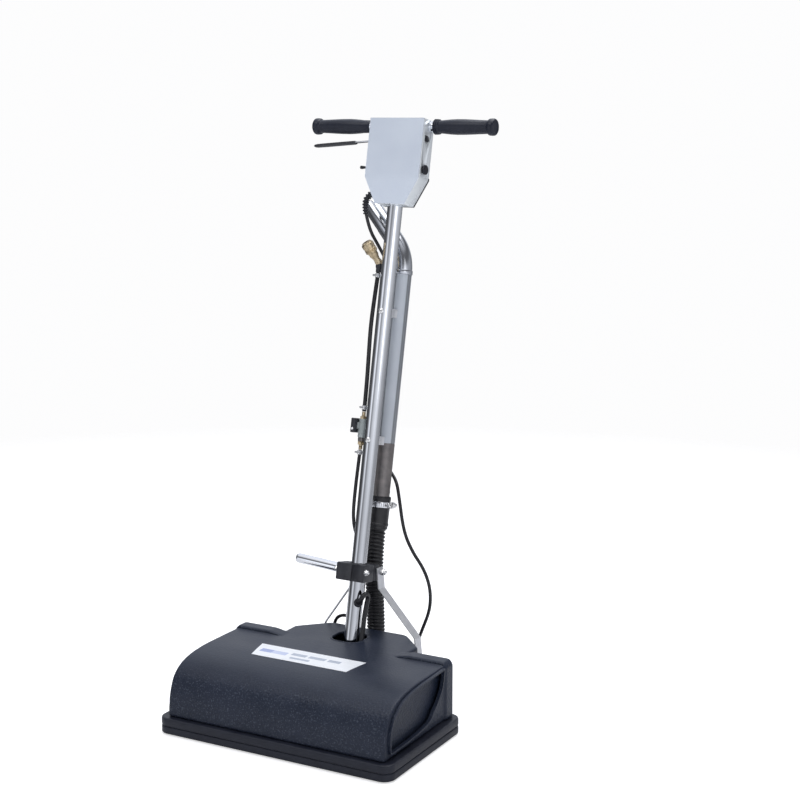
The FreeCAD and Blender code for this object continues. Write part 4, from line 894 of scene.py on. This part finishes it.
def solution_pieces():
    x0 = -26
    valve = Piece("valve_body", HANDLE)
    valve.lathe([(459, 7), (460, 8), (468, 8.2), (470, 9.4), (480, 9.4), (482, 8.4), (496, 8.2),
                 (497.5, 7)], (x0, 3, 0), ALONG, CAST, 48)
    valve.box((-36, -5.8, 476), (-30, 5.8, 490), CAST, 1)
    valve.done("handle", "aluminium", "solution_valve")
    coil = Piece("valve_solenoid", HANDLE)
    coil.box((-44, -16, 468), (-34.6, 8, 498), BLACK, 1.8, 3)
    coil.box((-44.6, -9, 474), (-43.6, 3, 492), ZINC, 0.3)
    coil.lathe([(0, 2.6), (1.2, 2.6), (1.9, 1.9), (2, 0)], (-39, -16, 476), (0, -1, 0), BRIGHT, 24)
    coil.done("handle", "black_plastic", "valve_coil")
    brass = Piece("brass_unions", HANDLE)
    brass.hexagon((x0, 3, 497), ALONG, 13, 6, BRASS)
    brass.hexagon((x0, 3, 444), ALONG, 13, 7.5, BRASS)
    brass.lathe([(0, 6.6), (1.5, 7), (7, 7), (8.5, 6.6)], (x0, 3, 451), ALONG, DULL, 32)
    for start, way in ((503, 1), (444, -1)):
        brass.lathe([(0, 4.2), (2, 4.2), (3, 3.6), (5, 4.1), (6, 3.6), (8, 4.1), (9.4, 3.5)],
                    (x0, 3.2, start), (0, 0, way), BRASS, 24)
    brass.done("handle", "brass", "brass_fittings")
    root = Vector((-25, 2, 821))
    axis = Vector((-0.405, -0.514, 0.757)).normalized()
    coupler = Piece("coupler_body", HANDLE)
    coupler.lathe([(801.8, 5), (802, 5.5), (810, 5.6), (812, 6.6), (819, 6.8), (823, 6)], (-25, 2, 0),
                  ALONG, BLACK, 32)
    coupler.lathe([(-2, 6.6), (1, 7.6), (4, 7.6), (10, 6.6), (15, 7.6), (19, 9.4), (26, 9.6)], root, axis,
                  BRASS, 32)
    coupler.lathe([(25, 9.6), (26, 10.4), (50.4, 10.45), (51.6, 10), (52, 9.2), (52, 7.2), (36, 7.2),
                   (36, 0.1)], root, axis, BRASS, 48)
    coupler.done("handle", "brass", "quick_connect")
    collar = Piece("coupler_sleeve", HANDLE)
    profile = [(28, 10.6), (28, 12.2), (29, 13)]
    for i in range(4):
        profile += [(30 + 1.8 * i, 13), (30.6 + 1.8 * i, 12.4), (31.2 + 1.8 * i, 12.4)]
    profile += [(37.4, 12.2), (39.5, 12.2), (40, 13), (47, 13), (48.4, 12.4), (49, 11.6), (49, 10.6)]
    collar.lathe(profile, root, axis, BRASS, 48, closed=True)
    collar.done("collar", "brass", "quick_connect_collar")


def control_pieces():
    lever = Piece("trigger_strip", HANDLE)
    outline = [(-32, 1069), (-32, 1077), (-44, 1077), (-64, 1075.2), (-206, 1063.6), (-206, 1061.6),
               (-64, 1073.2), (-44, 1069)]
    lever.prism(outline, "XZ", -6, 6, POLISHED, 0.5)
    lever.lathe([(-8, 2.5), (8, 2.5)], (-38, 0, 1073), (0, 1, 0), ZINC, 20)
    lever.done("trigger", "polished_steel", "trigger_lever")
    sleeve = Piece("trigger_cover", HANDLE)
    spine = [(-108, 1070.2, 3.1, 6.6), (-110, 1070.0, 3.9, 7.6), (-140, 1067.6, 4.0, 8),
             (-175, 1064.7, 4.0, 8), (-200, 1062.7, 3.8, 7.6), (-206, 1062.2, 2.9, 6), (-209, 1062, 1.2, 3)]
    loops = [[(x, half_e * math.cos(t), up + half_s * math.sin(t))
              for t in [2 * math.pi * i / 24 for i in range(24)]] for x, up, half_s, half_e in spine]
    sleeve.loft(loops, BLACK)
    sleeve.done("trigger", "black_plastic", "trigger_sleeve")
    rocker = Piece("rocker_cap", HANDLE)
    outline = [(53, 1072.6), (61, 1072.4), (65.8, 1073), (64.4, 1077.6), (63.4, 1082.4), (61, 1083),
               (53, 1082.8)]
    rocker.prism(outline, "XZ", -16.6, -1.6, BUTTON, 0.6)
    rocker.done("rocker", "button_black", "power_rocker")
    toggle = Piece("toggle_bat", HANDLE)
    toggle.lathe([(0, 2.4), (6, 2.5), (9, 2.2), (12, 3.0), (18, 3.6), (20, 3.4), (21, 2.2), (21.2, 0)],
                 (-67, -6, 1017.5), (-1, 0, 0), BUTTON, 32)
    toggle.done("toggle", "button_black", "spray_toggle")
    reset = Piece("reset_cap", HANDLE)
    reset.lathe([(0, 5), (6.2, 5), (6.2, 9.2), (7.4, 9.9), (10.6, 9.9), (11.6, 9), (12.2, 7.4), (12.2, 0)],
                (59, -12, 1013.5), ACROSS, BUTTON, 12)
    reset.done("reset", "button_black", "reset_button", angle=0.3)


def clamp_block_pieces():
    bore = ("lathe", [(0, 15.95), (60, 15.95)], (0, 0, 150), ALONG)
    block = Piece("depth_clamp", HANDLE).box((-37, -28, 166), (29.3, 14, 202), BLACK, 2.6, 3).built(0.5)
    carved(block, cutter(*bore), cutter("box", (-1, -30, 160), (1, -10, 210)))
    outline = [(13, 169), (33, 169), (37, 173), (37, 198), (33, 202), (13, 202)]
    ears = Piece("ears", HANDLE).prism(outline, "YZ", -29.3, 29.3, BLACK, 1.2).built(0.5)
    settle(joined(block, carved(ears, cutter(*bore))), "clamp", "black_plastic", "clamp_block")
    bolts = Piece("clamp_fixings", HANDLE)
    bolts.hexagon((29.8, -22, 187), ACROSS, 10, 4.2, BRIGHT, 4)
    bolts.lathe([(0, 6.2), (0.9, 6.2)], (29.4, -22, 187), ACROSS, BRIGHT, 32)
    bolts.hexagon((-37.1, -22, 187), (-1, 0, 0), 10, 4.5, BRIGHT)
    for side in (-1, 1):
        bolts.hexagon((side * 40, 30, 188), (side, 0, 0), 13, 5.2, BRIGHT, 5 if side > 0 else 0)
        bolts.lathe([(0, 7.6), (1, 7.6)], (side * 39.4, 30, 188), (side, 0, 0), BRIGHT, 32)
        bolts.lathe([(0, 4), (11, 4)], (side * 29.2, 30, 188), (side, 0, 0), ZINC, 24)
    bolts.done("clamp", "zinc", "clamp_bolts")
    peg = Piece("peg_bar", HANDLE)
    tilt = math.radians(4)
    peg.lathe([(0, 10.2), (105, 10.2), (108, 9.9), (110, 8.8), (111, 6.5), (111, 0)], (-37.9, 0, 186.5),
              (-math.cos(tilt), 0, math.sin(tilt)), CHROME, 64)
    peg.done("clamp", "chrome", "peg_handle")


tube_piece()
grip_piece("left", -1)
grip_piece("right", 1)
box_pieces()
bend_piece()
vacuum_pieces()
clamp_pieces()
solution_pieces()
control_pieces()
clamp_block_pieces()

# ---------------------------------------------------------------- CAD pieces that keep their shape
for material, names in (
        (CHROME, "handlebar"),
        (ZINC, "cover_screws pivot_bracket pivot_bolt stay_anchors wheel_axles left_stay right_stay"),
        (DULL, "base_plate brush_end_plates brush_core"),
        (POLISHED, "brush_bearings"),
        (PAINT, "brush_motor"),
        (BELT, "drive_belt"),
        (BLACK,
         "vacuum_shoe vacuum_duct spray_manifold brush_pulley motor_pulley switch_bodies tube_grommet"),
        (BRASS, "spray_nozzles")):
    for name in names.split():
        slots = frame["nodes"][name].data.materials
        slots.clear()
        slots.append(material)


# ---------------------------------------------------------------- floor and light
FLOOR_RADIUS = 3300
FLOOR_GLOW = 0.55
FLOOR_FADE = (1.0, 3.2)
# share of a turn from the left, and how bright the room is there
ROOM = [(0.0, 0.10), (0.06, 0.07), (0.125, 0.35), (0.16, 1.20), (0.19, 1.20), (0.225, 0.36), (0.256, 0.50),
        (0.30, 0.80), (0.34, 0.98), (0.40, 1.15), (0.46, 0.98), (0.512, 0.56), (0.564, 0.50), (0.62, 0.42),
        (0.70, 0.28), (0.83, 0.17), (0.95, 0.09), (1.0, 0.10)]
ROOM_TOP = (0.22, 0.40)
SKY = [(0.6, 0.16), (0.9, 1.1)]
WINDOW = [(0.70, 0), (0.77, 1), (0.89, 1), (0.96, 0)]
WINDOW_FOOT = (0.03, 0.12)
WINDOW_LIGHT = (0.92, 0.96, 1.05, 1)
SURROUND = (0.98, 0.98, 0.985, 1)


def floor_piece():
    """Round pale floor that fades out at its rim and glows a little for the eye only."""
    material = finish("floor", (0.86, 0.86, 0.87), (0.88, 0.88, 0.89), rough=0.6, patch=3, grain=0.05,
                      fine=300)
    graph = Graph(material)
    shader = graph.nodes["Principled BSDF"]
    reach = graph.add("VectorMath", {0: graph.add("TexCoord")["Object"]}, operation="LENGTH")["Value"]
    eye = graph.add("LightPath")["Is Camera Ray"]
    graph.link(graph.maths("MULTIPLY", eye, FLOOR_GLOW), shader.inputs["Emission Strength"])
    shader.inputs["Emission Color"].default_value = (1, 1, 1, 1)
    mix = graph.add("MixShader", {"Fac": graph.span(reach, *FLOOR_FADE), 1: shader.outputs["BSDF"],
                                  2: graph.add("BsdfTransparent")["BSDF"]})
    graph.link(mix["Shader"], graph.nodes["Material Output"].inputs["Surface"])
    sides = 96
    ring = [(x, y, 0) for x, y in arc((0, 0), FLOOR_RADIUS, 0, 360, sides)[:-1]]
    Piece("floor").add(ring, [tuple(range(sides))], material).built()


def world_light():
    """White surround for the eye; reflections see a pale room with darker bands and a high window."""
    world = bpy.data.worlds.new("studio")
    bpy.context.scene.world = world
    graph = Graph(world)
    way = graph.add("SeparateXYZ", {"Vector": graph.add("TexCoord")["Generated"]})
    turn = graph.span(graph.maths("ARCTAN2", way["Y"], way["X"]), -math.pi, math.pi)
    room = graph.ramp(turn, ROOM, (0.96, 0.98, 1.04), "EASE")
    sky = graph.ramp(way["Z"], SKY, (0.97, 0.98, 1.03))
    dome = graph.blend(graph.span(way["Z"], *ROOM_TOP), room, sky)
    window = graph.maths("MULTIPLY", graph.ramp(turn, WINDOW), graph.span(way["Z"], *WINDOW_FOOT))
    lit = graph.blend(window, dome, WINDOW_LIGHT)
    eye = graph.add("LightPath")["Is Camera Ray"]
    graph.link(graph.blend(eye, lit, SURROUND), graph.nodes["Background"].inputs["Color"])


def area_light(name, place, target, size, watts):
    data = bpy.data.lights.new(name, "AREA")
    data.shape = "DISK"
    data.size = size
    data.energy = watts
    item = bpy.data.objects.new(name, data)
    item.location = place
    item.rotation_mode = "QUATERNION"
    item.rotation_quaternion = (Vector(target) - Vector(place)).to_track_quat("-Z", "Y")
    bpy.context.scene.collection.objects.link(item)


floor_piece()
world_light()
area_light("key", (-0.9, -1.5, 3.3), (0, 0, 0.4), 1.6, 13)
area_light("fill", (2.6, -1.4, 1.8), (0, 0, 0.5), 1.6, 4)
area_light("top", (0.2, 0.9, 3.0), (0, 0.1, 0.3), 1.8, 27)
bpy.context.scene.view_settings.view_transform = "Standard"
